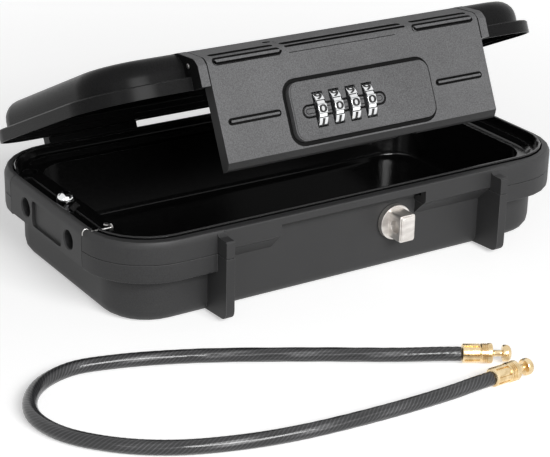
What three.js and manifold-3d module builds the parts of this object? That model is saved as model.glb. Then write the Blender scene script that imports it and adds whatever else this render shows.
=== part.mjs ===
// A portable car safe, open by a quarter of a right angle, with its security cable beside it.
// Millimetres, +Z up. X runs along the length, the front faces -Y, and the origin is
// the middle of the flat underside. The lid, its front flap and the lock are written
// in their closed places and turned open together about the rear hinge.
import * as THREE from "three";
import { mergeVertices } from "three/addons/utils/BufferGeometryUtils.js";
import Module from "manifold-3d";

const wasm = await Module();
wasm.setup();

// Fits
const GAP = 0.3; // between pieces that touch
const LAP = 0.5; // by which joined forms run into each other

// Lower case
const CASE_LENGTH = 240; // over the thick band
const CASE_DEPTH = 129.3;
const BASE_HEIGHT = 40;
const BAND_CORNER = 30.2; // plan radius of the band
const BAND_BOTTOM = 21.7;
const SEAM_HEIGHT = 30.15; // between the lower shell and the rim frame
const BODY_INSET = 8.1; // of the body below the band
const BOTTOM_EDGE = 6;
const SHELL_WALL = 3;
const SHELL_FLOOR = 3;
const RIM_WALL = 3.7;
const RIM_END_ROUND = 3.2; // shoulder at the two ends
const RIM_SIDE_ROUND = 1;
const LEDGE_DEPTH = 5.8; // of the ledge that carries the liner
const LEDGE_THICK = 2.9;
const CORNER_STEPS = 7;

// Front of the lower case
const SEGMENT_OUT = 8.05; // band segments stand this far out of the front wall
const SEGMENT_FOOT = 23.5; // height where their slope leaves the wall
const POCKET_LEFT = -42;
const POCKET_RIGHT = 33;
const LIP_HEIGHT = 3.4; // of the rim across the pocket
const FIN_CLEAR = 0.5; // from the flap's ends to the front fins
const FIN_THICK = 4;
const FIN_OUT = 7.3; // in front of the band
const BASE_FIN_TOP = 37.7;
const BASE_FIN_FOOT = 1.2;

// Cable ports, in the left end
const PORT_WIDTH = 68.8;
const PORT_THICK = 3.6;
const PORT_HEIGHT = 30.5;
const PORT_BACK_Y = 19.4;
const PORT_FRONT_Y = -21.8;
const PORT_BORE = 4.2;
const PORT_SINK = 0.5; // countersink
const PORT_COLLAR = 1.5; // wall of the tube behind each bore
const RECESS = { y0: -15, y1: 13, z0: 24.3, z1: 36.2, deep: 1.2, corner: 2 };

// Cable retainer, a slider behind the ports
const RETAINER_SET = 10; // middle of the slider, in from the case's left end
const RETAINER_THICK = 2.5;
const RETAINER_LENGTH = 60;
const RETAINER_LOW = 33; // top of its middle
const RETAINER_TALL = 35.6; // top of its two ends
const RETAINER_TRAVEL = 5;
const RETAINER_DIP = 15; // half length of the low middle
const RIB_THICK = 1.8; // of the rib behind the slider
const RIB_HALF = 9; // half the rib's length
const ENTRY_RADIUS = 4.1;
const NECK_SLOT = 3.8;
const STEM_RADIUS = 1.4;
const KNOB_RADIUS = 3.8;
const KNOB_Y = 0.4;
const KNOB_HEIGHT = 38.8;

// Liner tray
const BEAD_INSET = 4.4;
const BEAD_WIDTH = 1.3;
const BEAD_TOP = 41;
const BEAD_DIP = 38.2; // height of the bead along the cable ports
const BEAD_DIP_PAST = 5; // by which its low stretch runs past the ports at each side
const FLANGE_LOW = 33.5;
const SLOPE_INSET = 10.8;
const SLOPE_LOW = 35.3;
const TUB_INSET = 13;
const TUB_SET = 15.8; // left wall of the tub, in from the case's left end
const TUB_WALL = 1.8;
const TUB_FLOOR = 1.8;
const TUB_EDGE = 3;
const DECK_SET = 17; // right edge of the channel's deck, in from the left end
const DECK_TOP = 37.3;
const DECK_STEP_SET = 10.5; // step in the deck, in from the left end
const DECK_STEP = 0.4;
const KNOB_WELL = 34.7; // floor of the well that the knob slides in
const KEY_HOLE = { set: 12.8, back: 23.15, r: 3.2 }; // in from the left end and from the rear
const PIN_IN = 27.05; // the headed pin, in from the front
const PIN_SET = 3; // its plain end, in from the left end
const PIN_HEIGHT = 39.3;
const PIN_RADIUS = 0.7;
const PIN_HEAD = 1.7;
const PIN_LENGTH = 9.1;
const RIVET = { set: 13.6, front: 34.15, r: 1.3, high: 0.7 }; // in from the left end and the front

// Lock stud on the front wall
const STUD_X = 21.2;
const STUD_Z = 22.6;
const STUD_FLANGE = 8;
const STUD_FLANGE_THICK = 2.8;
const STUD_WIDTH = 8;
const STUD_TALL = 12.4;
const STUD_END = 12.2; // from the wall to the post's end face
const STUD_BEVEL = 1;
const STUD_SHANK = 3;
const STUD_RING = 6;
const DIMPLE = { in: 0.75, z: 22.8, r: 2.9, deep: 2.7 }; // middle, in from the case's front

// Rear hinge
const HINGE_OUT = 2.45; // of the axis, behind the case's band
const HINGE_Z = 24.5;
const OPEN_ANGLE = 25.14;
const ARM_SET = 36.6; // outer ends of the hinge arms, in from the case's ends
const ARM_LENGTH = 46;
const ARM_OUT = 6.65; // rear faces of the arms, behind the band
const BARREL_RADIUS = 3.8;
const BARREL_GAP = 0.5;
const LUG_WIDTH = 5.5;
const LUG_RADIUS = 4.2;
const HINGE_PIN = 1.5;

// Lid
const LID_SET = 3.3; // the lid's ends, in from the case's
const LID_BOTTOM = 40.4;
const LID_FLANGE = 46.1; // top of the flange
const LID_TOP = 57.4;
const LID_CORNER = 28;
const DOME_INSET = 4.5;
const DOME_EDGE = 8;
const LID_WALL = 2.5;
const LID_LIP = 0.8; // the flange's edge is this thin where it goes round the liner's bead
const LID_LIP_HIGH = 1.1;
const LINER_WALL = 1.5;

// Flap, hinged in the front of the lid
const FLAP_SET = 51.2; // the flap's ends, in from the case's
const FLAP_OUT = 7.21; // front face, before the case's band
const FLAP_DEEP = 6.11; // from the front face to the deep rim's rear edge
const FLAP_BOTTOM = 5.2;
const FLAP_BEVEL = 3.2; // height of the bevel at the lower edge
const FLAP_SKIN = 2.6;
const FLAP_RIM = 2.5;
const FLAP_SHOULDER = 4.4; // radius between the front and the sloping top
const FLAP_SLOPE = 20.5; // degrees
const FLAP_REACH = 14.61; // from the front face to the rear edge of the sloping top
const FLAP_TOP_SKIN = 2;
const FLAP_AXIS_IN = 7.86; // behind the front face
const FLAP_AXIS_Z = 50.4;
const FLAP_HUB = 3;
const FLAP_HUB_LENGTH = 7;
const FLAP_PIN = 1;
const FLAP_WELL = 9.8; // radius of the hollow in the lid behind the flap
const RIB_HIGH = 0.7;
const TOP_RIB = { set: 2.7, inner: 33.3, z0: 48.2, z1: 50.4 };
const LOW_RIB = { set: 4.2, clear: 2.5, z0: 23.3, z1: 26.2 };

// Lock
const PANEL_HALF = 37.5; // recess in the flap
const PANEL_LOW = 9.05;
const PANEL_HIGH = 37.6;
const PANEL_CORNER = 6.5;
const PANEL_DEEP = 1.3;
const PANEL_GROOVE = 1.9;
const PANEL_RAISED = 2.64;
const DIAL_COUNT = 4;
const DIAL_PITCH = 8.28;
const DIAL_FIRST_X = -22.6;
const DIAL_Z = 22.9;
const DIAL_IN = 4.16; // axis behind the flap's front face
const DIAL_RADIUS = 9.3;
const DIAL_WIDTH = 4.15;
const DIAL_BORE = 1.7;
const DIAL_FLATS = 30; // sides of a wheel's rim: three to a number
const WINDOW_WIDTH = 5.3;
const WINDOW_TALL = 15;
const SHAFT_RADIUS = 1.4;
const CAM_RADIUS = 2.8;
const CAM_WIDTH = 2.9;
const INDEX_SLOT = { x0: -31.3, x1: 10.8, z0: 19.85, z1: 25.75, deep: 0.8, wide: 0.9 };
const BOX_LEFT = -31;
const BOX_RIGHT = 12.8;
const BOX_LOW = 11.8;
const BOX_HIGH = 33.1;
const BOX_DEEP = 13.46; // from the flap's front face to the box's rear
const BOX_WALL = 1.5;
const BOX_TOP_WALL = 0.6;
const BOX_RAMP = 5; // bevel of the box's lower rear edge
const RAMP_WALL = 1.2;
const COVER_THICK = 1.1;
const POST_DEEP = 11.86; // from the flap's front face to the cheek's rear
const POST_SIDE = 1.1; // clearance either side of the stud
const BOLT_RADIUS = 2.4;
const BOLT_GAP = 0.45; // from the drawn bolt to the stud
const BOLT_LENGTH = 8.6;
const SCREW_RADIUS = 0.7;
const SCREW_HEAD = 1.2;
const SCREW_LENGTH = 6;
const BOSS_RADIUS = 1.7;
const BOSS_WEB = 1; // half the height of the web that ties a boss to the box's side
const BOSS_RISE = 1.7; // of the lower bosses above the ramp

// Security cable
const CABLE_RADIUS = 2.9;
const CABLE_SIDES = 10;
const CABLE_STEPS = 34;
const BARREL_BRASS = 3.8;
const BARREL_LENGTH = 12.2;
const KNURL_LENGTH = 4.4;
const KNURL_GROW = 0.35;
const NECK_BRASS = 1.65;
const NECK_LENGTH = 4;
const HEAD_BRASS = 3.6;
const HEAD_LENGTH = 4;
const HEAD_EDGE = 1;
// The cable's middle line as it lies, from the first fitting to the second.
const CABLE_ROUTE = [
  [-9.5, -146.4, 3.85], [-16.4, -142.3, 3.8], [-29.5, -134.6, 3.4], [-63.4, -113.4, 2.95],
  [-101.5, -92.6, 2.95], [-130.2, -81.4, 2.95], [-147.6, -78.4, 2.95], [-162.5, -83.6, 2.95],
  [-172, -93.8, 2.95], [-176, -106.6, 2.95], [-172.6, -122.4, 2.95], [-160.4, -138.6, 2.95],
  [-143.4, -151.2, 2.95], [-121, -160.2, 2.95], [-97.8, -165.4, 2.95], [-62, -168.6, 2.95],
  [-32, -169.4, 3.3], [-20.4, -169.3, 3.8], [-12.4, -169.1, 3.85],
];

const HALF_L = CASE_LENGTH / 2;
const HALF_D = CASE_DEPTH / 2;
const RETAINER_X = RETAINER_SET - HALF_L;
const TUB_LEFT = TUB_SET - HALF_L;
const DECK_RIGHT = DECK_SET - HALF_L;
const DECK_STEP_X = DECK_STEP_SET - HALF_L;
const KEY_HOLE_X = KEY_HOLE.set - HALF_L;
const KEY_HOLE_Y = HALF_D - KEY_HOLE.back;
const RIVET_X = RIVET.set - HALF_L;
const RIVET_Y = RIVET.front - HALF_D;
const PIN_Y = PIN_IN - HALF_D;
const HINGE_Y = HALF_D + HINGE_OUT;
const ARM_BACK = HALF_D + ARM_OUT;
const FLAP_FRONT = -(HALF_D + FLAP_OUT);
const FLAP_BACK = FLAP_FRONT + FLAP_DEEP;
const FLAP_REAR = FLAP_FRONT + FLAP_REACH;
const FLAP_AXIS_Y = FLAP_FRONT + FLAP_AXIS_IN;
const DIAL_Y = FLAP_FRONT + DIAL_IN;
const BOX_BACK = FLAP_FRONT + BOX_DEEP;
const POST_BACK = FLAP_FRONT + POST_DEEP;
const DIMPLE_Y = DIMPLE.in - HALF_D;
const ARM_OUTER = HALF_L - ARM_SET;
const ARM_INNER = ARM_OUTER - ARM_LENGTH;
const LID_HALF = HALF_L - LID_SET;
const FLAP_HALF = HALF_L - FLAP_SET;
const FIN_INNER = FLAP_HALF + FIN_CLEAR;
const FRONT_WALL = -(HALF_D - BODY_INSET);
const FIN_FRONT = -(HALF_D + FIN_OUT);
const LEDGE_TOP = FLANGE_LOW - GAP;

// Materials
const paint = (name, color, roughness, metalness = 0) =>
  Object.assign(new THREE.MeshStandardMaterial({ color, roughness, metalness }), { name });
const SHELL_PLASTIC = paint("textured_black", 0x2b2b2d, 0.55);
const LID_PLASTIC = paint("satin_black", 0x232325, 0.4);
const LINER_PLASTIC = paint("gloss_black", 0x0c0c0d, 0.18);
const FLAP_PLASTIC = paint("flap_black", 0x303032, 0.6);
const STEEL = paint("brushed_steel", 0xb9bbbd, 0.3, 1);
const CHROME = paint("chrome", 0xd9dbdd, 0.12, 1);
const ZINC = paint("zinc", 0x8b8d90, 0.4, 1);
const BRASS = paint("brass", 0xc79a4a, 0.28, 1);
const VINYL = paint("cable_vinyl", 0x18191b, 0.25);

// Solids from three.js geometry
function solid(geometry) {
  const plain = geometry.index ? geometry.toNonIndexed() : geometry.clone();
  plain.deleteAttribute("normal");
  plain.deleteAttribute("uv");
  const merged = mergeVertices(plain, 1e-4);
  return new wasm.Manifold(new wasm.Mesh({
    numProp: 3,
    vertProperties: merged.attributes.position.array,
    triVerts: new Uint32Array(merged.index.array),
  }));
}

function join(...pieces) {
  return pieces.reduce((whole, piece) => whole.add(piece));
}

function cut(body, ...tools) {
  return tools.reduce((left, tool) => left.subtract(tool), body);
}

function geometryOf(body) {
  const mesh = body.getMesh();
  const geometry = new THREE.BufferGeometry();
  geometry.setAttribute("position", new THREE.BufferAttribute(new Float32Array(mesh.vertProperties), 3));
  geometry.setIndex(new THREE.BufferAttribute(new Uint32Array(mesh.triVerts), 1));
  const flat = geometry.toNonIndexed();
  flat.computeVertexNormals();
  return flat;
}

function box(x0, x1, y0, y1, z0, z1) {
  const geometry = new THREE.BoxGeometry(x1 - x0, y1 - y0, z1 - z0);
  return solid(geometry.translate((x0 + x1) / 2, (y0 + y1) / 2, (z0 + z1) / 2));
}

// A rod along an axis from one coordinate to another; at holds the other two, in x, y, z order.
function rod(axis, from, to, at, radius, sides = 24, endRadius = radius) {
  const geometry = new THREE.CylinderGeometry(endRadius, radius, to - from, sides);
  if (axis === "x") {
    geometry.rotateZ(-Math.PI / 2).translate((from + to) / 2, at[0], at[1]);
  } else if (axis === "y") {
    geometry.translate(at[0], (from + to) / 2, at[1]);
  } else {
    geometry.rotateX(Math.PI / 2).translate(at[0], at[1], (from + to) / 2);
  }
  return solid(geometry);
}

function shapeOf(points) {
  return new THREE.Shape(points.map(([u, v]) => new THREE.Vector2(u, v)));
}

function plate(points, thick) {
  return new THREE.ExtrudeGeometry(shapeOf(points), { depth: thick, bevelEnabled: false });
}

// Plates from an outline of (y, z) points along X, (x, z) points along Y or (x, y) points along Z.
function alongX(points, x0, x1) {
  const cycle = new THREE.Matrix4().set(0, 0, 1, x0, 1, 0, 0, 0, 0, 1, 0, 0, 0, 0, 0, 1);
  return solid(plate(points, x1 - x0).applyMatrix4(cycle));
}

function alongY(points, y0, y1) {
  return solid(plate(points, y1 - y0).rotateX(Math.PI / 2).translate(0, y1, 0));
}

function alongZ(points, z0, z1) {
  return solid(plate(points, z1 - z0).translate(0, 0, z0));
}

// Points of an arc, angles in degrees.
function arc(u, v, radius, from, to, steps) {
  return Array.from({ length: steps + 1 }, (_, i) => {
    const angle = THREE.MathUtils.degToRad(from + ((to - from) * i) / steps);
    return [u + radius * Math.cos(angle), v + radius * Math.sin(angle)];
  });
}

function roundedOutline(u0, u1, v0, v1, radius, steps = 5) {
  return [
    ...arc(u1 - radius, v0 + radius, radius, -90, 0, steps),
    ...arc(u1 - radius, v1 - radius, radius, 0, 90, steps),
    ...arc(u0 + radius, v1 - radius, radius, 90, 180, steps),
    ...arc(u0 + radius, v0 + radius, radius, 180, 270, steps),
  ];
}

// One level of a lofted form: a rounded rectangle in plan at a height.
function level(halfX, halfY, radius, z, midX = 0, midY = 0) {
  const limit = Math.max(0.3, Math.min(radius, halfX - 0.1, halfY - 0.1));
  const outline = roundedOutline(-halfX, halfX, -halfY, halfY, limit, CORNER_STEPS);
  return outline.map(([x, y]) => [x + midX, y + midY, z]);
}

// The skin through a list of levels: closed over at both ends, or joined last to first.
function loft(levels, ringShaped = false) {
  const sides = levels[0].length;
  const points = levels.flat();
  const faces = [];
  const last = ringShaped ? levels.length : levels.length - 1;
  for (let i = 0; i < last; i++) {
    const low = i * sides;
    const high = ((i + 1) % levels.length) * sides;
    for (let k = 0; k < sides; k++) {
      const next = (k + 1) % sides;
      faces.push(low + k, low + next, high + next, low + k, high + next, high + k);
    }
  }
  if (!ringShaped) {
    const top = (levels.length - 1) * sides;
    for (let k = 1; k < sides - 1; k++) {
      faces.push(0, k + 1, k, top, top + k, top + k + 1);
    }
  }
  const geometry = new THREE.BufferGeometry();
  geometry.setAttribute("position", new THREE.BufferAttribute(new Float32Array(points.flat()), 3));
  geometry.setIndex(faces);
  return solid(geometry);
}

// A level of the lower case, drawn in from the band's outline.
function caseLevel(inset, z, sideInset = inset) {
  return level(HALF_L - inset, HALF_D - sideInset, BAND_CORNER - inset, z);
}

const group = new THREE.Group();
const lidGroup = new THREE.Group();
lidGroup.position.set(0, HINGE_Y, HINGE_Z);
lidGroup.rotation.x = -THREE.MathUtils.degToRad(OPEN_ANGLE);
group.add(lidGroup);

function add(name, body, material) {
  const mesh = new THREE.Mesh(geometryOf(body), material);
  mesh.name = name;
  group.add(mesh);
}

function addToLid(name, body, material) {
  const mesh = new THREE.Mesh(geometryOf(body), material);
  mesh.name = name;
  mesh.position.set(0, -HINGE_Y, -HINGE_Z);
  lidGroup.add(mesh);
}

// Both hinge arms' stretches of X, left first.
const ARMS = [[-ARM_OUTER, -ARM_INNER], [ARM_INNER, ARM_OUTER]];
const SIDES = [-1, 1];

// The front fins, drawn from x = inner to outer on one side.
function finSpan(side) {
  const ends = [side * FIN_INNER, side * (FIN_INNER + FIN_THICK)];
  return [Math.min(...ends), Math.max(...ends)];
}

// The slopes of the band segments, as seen from the end.
const SLOPE_TOP = SEGMENT_FOOT + SEGMENT_OUT;
const SEGMENT_FRONT = FRONT_WALL - SEGMENT_OUT;

function buildBaseShell() {
  const rounding = arc(0, 0, BOTTOM_EDGE, -90, 0, 4).map(([u, v]) =>
    caseLevel(BODY_INSET + BOTTOM_EDGE - u, BOTTOM_EDGE + v));
  const top = SEAM_HEIGHT - GAP / 2;
  const shelf = BAND_BOTTOM + SHELL_WALL;
  const inner = BODY_INSET + SHELL_WALL;
  let shell = loft([
    ...rounding,
    caseLevel(BODY_INSET, BAND_BOTTOM),
    caseLevel(1.2, BAND_BOTTOM),
    caseLevel(0.35, BAND_BOTTOM + 0.35),
    caseLevel(0, BAND_BOTTOM + 1.2),
    caseLevel(0, top),
    caseLevel(SHELL_WALL, top),
    caseLevel(SHELL_WALL, shelf),
    caseLevel(inner, shelf),
    caseLevel(inner, SHELL_FLOOR + 3),
    caseLevel(inner + 3, SHELL_FLOOR),
  ]);
  // The band stops between the fins, and the body's front wall runs up to the seam.
  shell = cut(shell, box(-FIN_INNER, FIN_INNER, FIN_FRONT, FRONT_WALL, BAND_BOTTOM - 1, BASE_HEIGHT));
  shell = join(shell,
    box(-FIN_INNER - LAP, FIN_INNER + LAP, FRONT_WALL, FRONT_WALL + SHELL_WALL, BAND_BOTTOM, top),
    box(POCKET_LEFT + GAP, POCKET_RIGHT - GAP, FRONT_WALL, FRONT_WALL + SHELL_WALL,
      top - LAP, LEDGE_TOP - GAP));
  const slope = [
    [FRONT_WALL + 1, SEGMENT_FOOT - 1],
    [FRONT_WALL + 1, top],
    [FRONT_WALL - (top - SEGMENT_FOOT), top],
    [FRONT_WALL, SEGMENT_FOOT],
  ];
  shell = join(shell,
    alongX(slope, -FIN_INNER - LAP, POCKET_LEFT),
    alongX(slope, POCKET_RIGHT, FIN_INNER + LAP));
  const finProfile = [
    [FRONT_WALL + SHELL_WALL, BASE_FIN_FOOT + 3],
    [FRONT_WALL + SHELL_WALL, top],
    [FIN_FRONT, top],
    ...arc(FIN_FRONT + 4, BASE_FIN_FOOT + 5, 4, 180, 262, 4),
    [FRONT_WALL + BODY_INSET - 6, BASE_FIN_FOOT + 0.2],
  ];
  SIDES.forEach((side) => {
    shell = join(shell, alongX(finProfile, ...finSpan(side)));
  });
  // The left end takes the cable ports, and a rib keeps their slider upright.
  const notch = PORT_WIDTH / 2 + GAP / 2;
  shell = cut(shell,
    box(-HALF_L - 1, -HALF_L + PORT_THICK + GAP, -notch, notch, BAND_BOTTOM - 1, BASE_HEIGHT));
  const ribX = RETAINER_X + RETAINER_THICK / 2 + GAP;
  shell = join(shell,
    box(inner - LAP - HALF_L, ribX + RIB_THICK, -RIB_HALF, RIB_HALF, shelf - RIB_THICK * 2, shelf),
    box(ribX, ribX + RIB_THICK, -RIB_HALF, RIB_HALF, shelf - LAP, top));
  // Hinge seats in the rear wall, with lugs either side.
  ARMS.forEach(([x0, x1]) => {
    shell = join(shell,
      box(x0 - LUG_WIDTH, x1 + LUG_WIDTH, HALF_D - SHELL_WALL - 3, HALF_D - SHELL_WALL + LAP,
        shelf - LAP, top));
    shell = cut(shell, rod("x", x0 - GAP, x1 + GAP, [HINGE_Y, HINGE_Z], BARREL_RADIUS + BARREL_GAP));
    const lug = [
      [HALF_D - 2, HINGE_Z + LUG_RADIUS],
      [HALF_D - 2, HINGE_Z - LUG_RADIUS + 1.5],
      ...arc(HINGE_Y, HINGE_Z, LUG_RADIUS, -90, 90, 8),
    ];
    shell = join(shell,
      alongX(lug, x0 - GAP - LUG_WIDTH, x0 - GAP),
      alongX(lug, x1 + GAP, x1 + GAP + LUG_WIDTH));
    shell = cut(shell, hingeBore(x0, x1));
  });
  const hole = STUD_SHANK + GAP;
  return cut(shell,
    rod("y", FRONT_WALL - 1, FRONT_WALL + SHELL_WALL + 1, [STUD_X, STUD_Z], hole));
}

// The hinge pin's hole: open at the lug nearer the middle, blind in the outer one.
function hingeBore(x0, x1) {
  const middle = Math.sign(x0 + x1);
  const openEnd = middle > 0 ? x0 - GAP - LUG_WIDTH - 1 : x1 + GAP + LUG_WIDTH + 1;
  const blindEnd = middle > 0 ? x1 + LUG_WIDTH - 1 : x0 - LUG_WIDTH + 1;
  return rod("x", Math.min(openEnd, blindEnd), Math.max(openEnd, blindEnd),
    [HINGE_Y, HINGE_Z], HINGE_PIN + GAP, 16);
}

function buildRimFrame() {
  const low = SEAM_HEIGHT + GAP / 2;
  const ledge = RIM_WALL + LEDGE_DEPTH;
  const shoulder = arc(0, 0, 1, 0, 90, 4).map(([u, v]) => {
    const drop = RIM_END_ROUND * (1 - u);
    return caseLevel(drop, BASE_HEIGHT - RIM_END_ROUND * (1 - v), RIM_SIDE_ROUND * (1 - u));
  });
  let frame = loft([
    caseLevel(0, low),
    ...shoulder,
    caseLevel(RIM_WALL, BASE_HEIGHT),
    caseLevel(RIM_WALL, low + LEDGE_THICK),
    caseLevel(ledge, low + LEDGE_THICK),
    caseLevel(ledge, low),
  ], true);
  // Between the fins only the two segments and the lip over the pocket are left.
  const lipBottom = BASE_HEIGHT - LIP_HEIGHT;
  frame = cut(frame,
    box(-FIN_INNER, FIN_INNER, FIN_FRONT, FRONT_WALL + SHELL_WALL, low - 1, BASE_HEIGHT + 1));
  const lipBack = -(HALF_D - RIM_WALL);
  const edge = RIM_SIDE_ROUND;
  const segment = [
    [FRONT_WALL + SHELL_WALL, low],
    [FRONT_WALL + SHELL_WALL, low + LEDGE_THICK],
    [lipBack, low + LEDGE_THICK],
    [lipBack, BASE_HEIGHT],
    [SEGMENT_FRONT + edge, BASE_HEIGHT],
    [SEGMENT_FRONT + 0.3 * edge, BASE_HEIGHT - 0.3 * edge],
    [SEGMENT_FRONT, BASE_HEIGHT - edge],
    [SEGMENT_FRONT, SLOPE_TOP],
    [FRONT_WALL - (low - SEGMENT_FOOT), low],
  ];
  const lip = [
    [lipBack, lipBottom],
    [lipBack, BASE_HEIGHT],
    [SEGMENT_FRONT + edge, BASE_HEIGHT],
    [SEGMENT_FRONT + 0.3 * edge, BASE_HEIGHT - 0.3 * edge],
    [SEGMENT_FRONT, BASE_HEIGHT - edge],
    [SEGMENT_FRONT, lipBottom],
  ];
  frame = join(frame,
    alongX(segment, -FIN_INNER - LAP, POCKET_LEFT),
    alongX(segment, POCKET_RIGHT, FIN_INNER + LAP),
    alongX(lip, POCKET_LEFT - LAP, POCKET_RIGHT + LAP));
  const finProfile = [
    [lipBack, low],
    [lipBack, BASE_HEIGHT - 0.4],
    [SEGMENT_FRONT + 1, BASE_HEIGHT - 0.4],
    [SEGMENT_FRONT - 0.6, BASE_FIN_TOP + 0.5],
    [SEGMENT_FRONT - 1.5, BASE_FIN_TOP],
    [FIN_FRONT + 0.6, BASE_FIN_TOP],
    [FIN_FRONT, BASE_FIN_TOP - 0.6],
    [FIN_FRONT, low],
  ];
  SIDES.forEach((side) => {
    frame = join(frame, alongX(finProfile, ...finSpan(side)));
  });
  // The left end takes the cable ports, the ledge makes room for their slider, and the
  // headed pin's plain end lies in a groove in the rim.
  const notch = PORT_WIDTH / 2 + GAP / 2;
  const middle = (PORT_BACK_Y + PORT_FRONT_Y) / 2;
  const lane = RETAINER_LENGTH / 2 + RETAINER_TRAVEL + GAP;
  return cut(frame,
    box(-HALF_L - 1, -HALF_L + ledge + 1, -notch, notch, low - 1, BASE_HEIGHT + 1),
    box(RETAINER_X - RETAINER_THICK / 2 - GAP, -HALF_L + ledge + 1, middle - lane, middle + lane,
      low - 1, low + LEDGE_THICK + 1),
    box(-HALF_L + PIN_SET - GAP, -HALF_L + RIM_WALL + 1, PIN_Y - PIN_RADIUS - GAP,
      PIN_Y + PIN_RADIUS + GAP, PIN_HEIGHT - PIN_RADIUS - GAP, BASE_HEIGHT + 1));
}

function buildPortBlock() {
  const half = PORT_WIDTH / 2 - GAP / 2;
  const back = -HALF_L + PORT_THICK;
  const profile = [
    [back, BAND_BOTTOM + GAP],
    [back, BASE_HEIGHT],
    ...arc(-HALF_L + RIM_END_ROUND, BASE_HEIGHT - RIM_END_ROUND, RIM_END_ROUND, 90, 180, 5),
    [-HALF_L, BAND_BOTTOM + GAP + 1],
    [-HALF_L + 1, BAND_BOTTOM + GAP],
  ];
  const collarEnd = RETAINER_X - RETAINER_THICK / 2 - GAP;
  let block = alongY(profile.reverse(), -half, half);
  [PORT_BACK_Y, PORT_FRONT_Y].forEach((y) => {
    block = join(block, rod("x", back - LAP, collarEnd, [y, PORT_HEIGHT], PORT_BORE + PORT_COLLAR));
  });
  const floor = BAND_BOTTOM + SHELL_WALL + GAP;
  block = cut(block, box(back, collarEnd + 1, -half, half, BAND_BOTTOM, floor));
  [PORT_BACK_Y, PORT_FRONT_Y].forEach((y) => {
    block = cut(block,
      rod("x", -HALF_L - 1, collarEnd + 1, [y, PORT_HEIGHT], PORT_BORE),
      rod("x", -HALF_L - PORT_SINK, -HALF_L + PORT_SINK, [y, PORT_HEIGHT],
        PORT_BORE + 2 * PORT_SINK, 24, PORT_BORE));
  });
  const recess = roundedOutline(RECESS.y0, RECESS.y1, RECESS.z0, RECESS.z1, RECESS.corner, 3);
  return cut(block, alongX(recess, -HALF_L - 1, -HALF_L + RECESS.deep));
}

function buildRetainer() {
  const x0 = RETAINER_X - RETAINER_THICK / 2;
  const x1 = RETAINER_X + RETAINER_THICK / 2;
  const half = RETAINER_LENGTH / 2;
  const foot = BAND_BOTTOM + SHELL_WALL + GAP;
  const middle = (PORT_BACK_Y + PORT_FRONT_Y) / 2;
  const outline = [
    [middle - half, foot],
    [middle + half, foot],
    [middle + half, RETAINER_TALL],
    [KNOB_Y + RETAINER_DIP, RETAINER_TALL],
    [KNOB_Y + RETAINER_DIP, RETAINER_LOW],
    [KNOB_Y - RETAINER_DIP, RETAINER_LOW],
    [KNOB_Y - RETAINER_DIP, RETAINER_TALL],
    [middle - half, RETAINER_TALL],
  ];
  let bar = alongX(outline, x0, x1);
  const stemTop = KNOB_HEIGHT - KNOB_RADIUS * 0.7;
  bar = join(bar, rod("z", RETAINER_LOW - LAP, stemTop, [RETAINER_X, KNOB_Y], STEM_RADIUS, 16));
  [PORT_BACK_Y, PORT_FRONT_Y].forEach((y) => {
    const reach = RETAINER_TRAVEL + 0.3;
    bar = cut(bar,
      rod("x", x0 - 1, x1 + 1, [y, PORT_HEIGHT], ENTRY_RADIUS),
      box(x0 - 1, x1 + 1, y - reach - NECK_SLOT / 2, y + reach + NECK_SLOT / 2,
        PORT_HEIGHT - NECK_SLOT / 2, PORT_HEIGHT + NECK_SLOT / 2));
  });
  return bar;
}

// The chrome ball, bored from below for the slider's stem.
function buildKnob() {
  const ball = solid(new THREE.SphereGeometry(KNOB_RADIUS, 20, 12).rotateX(Math.PI / 2)
    .translate(RETAINER_X, KNOB_Y, KNOB_HEIGHT));
  const top = KNOB_HEIGHT - KNOB_RADIUS * 0.7 + GAP;
  return cut(ball,
    rod("z", KNOB_HEIGHT - KNOB_RADIUS - 1, top, [RETAINER_X, KNOB_Y], STEM_RADIUS + GAP, 16));
}

// A level of the liner's tub, which stops short on the left to leave the channel.
function tubLevel(grow, z, wall = 0) {
  const left = TUB_LEFT + wall - grow;
  const right = HALF_L - TUB_INSET - wall + grow;
  const half = HALF_D - TUB_INSET - wall + grow;
  return level((right - left) / 2, half, BAND_CORNER - TUB_INSET - wall + grow, z, (right + left) / 2);
}

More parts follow.
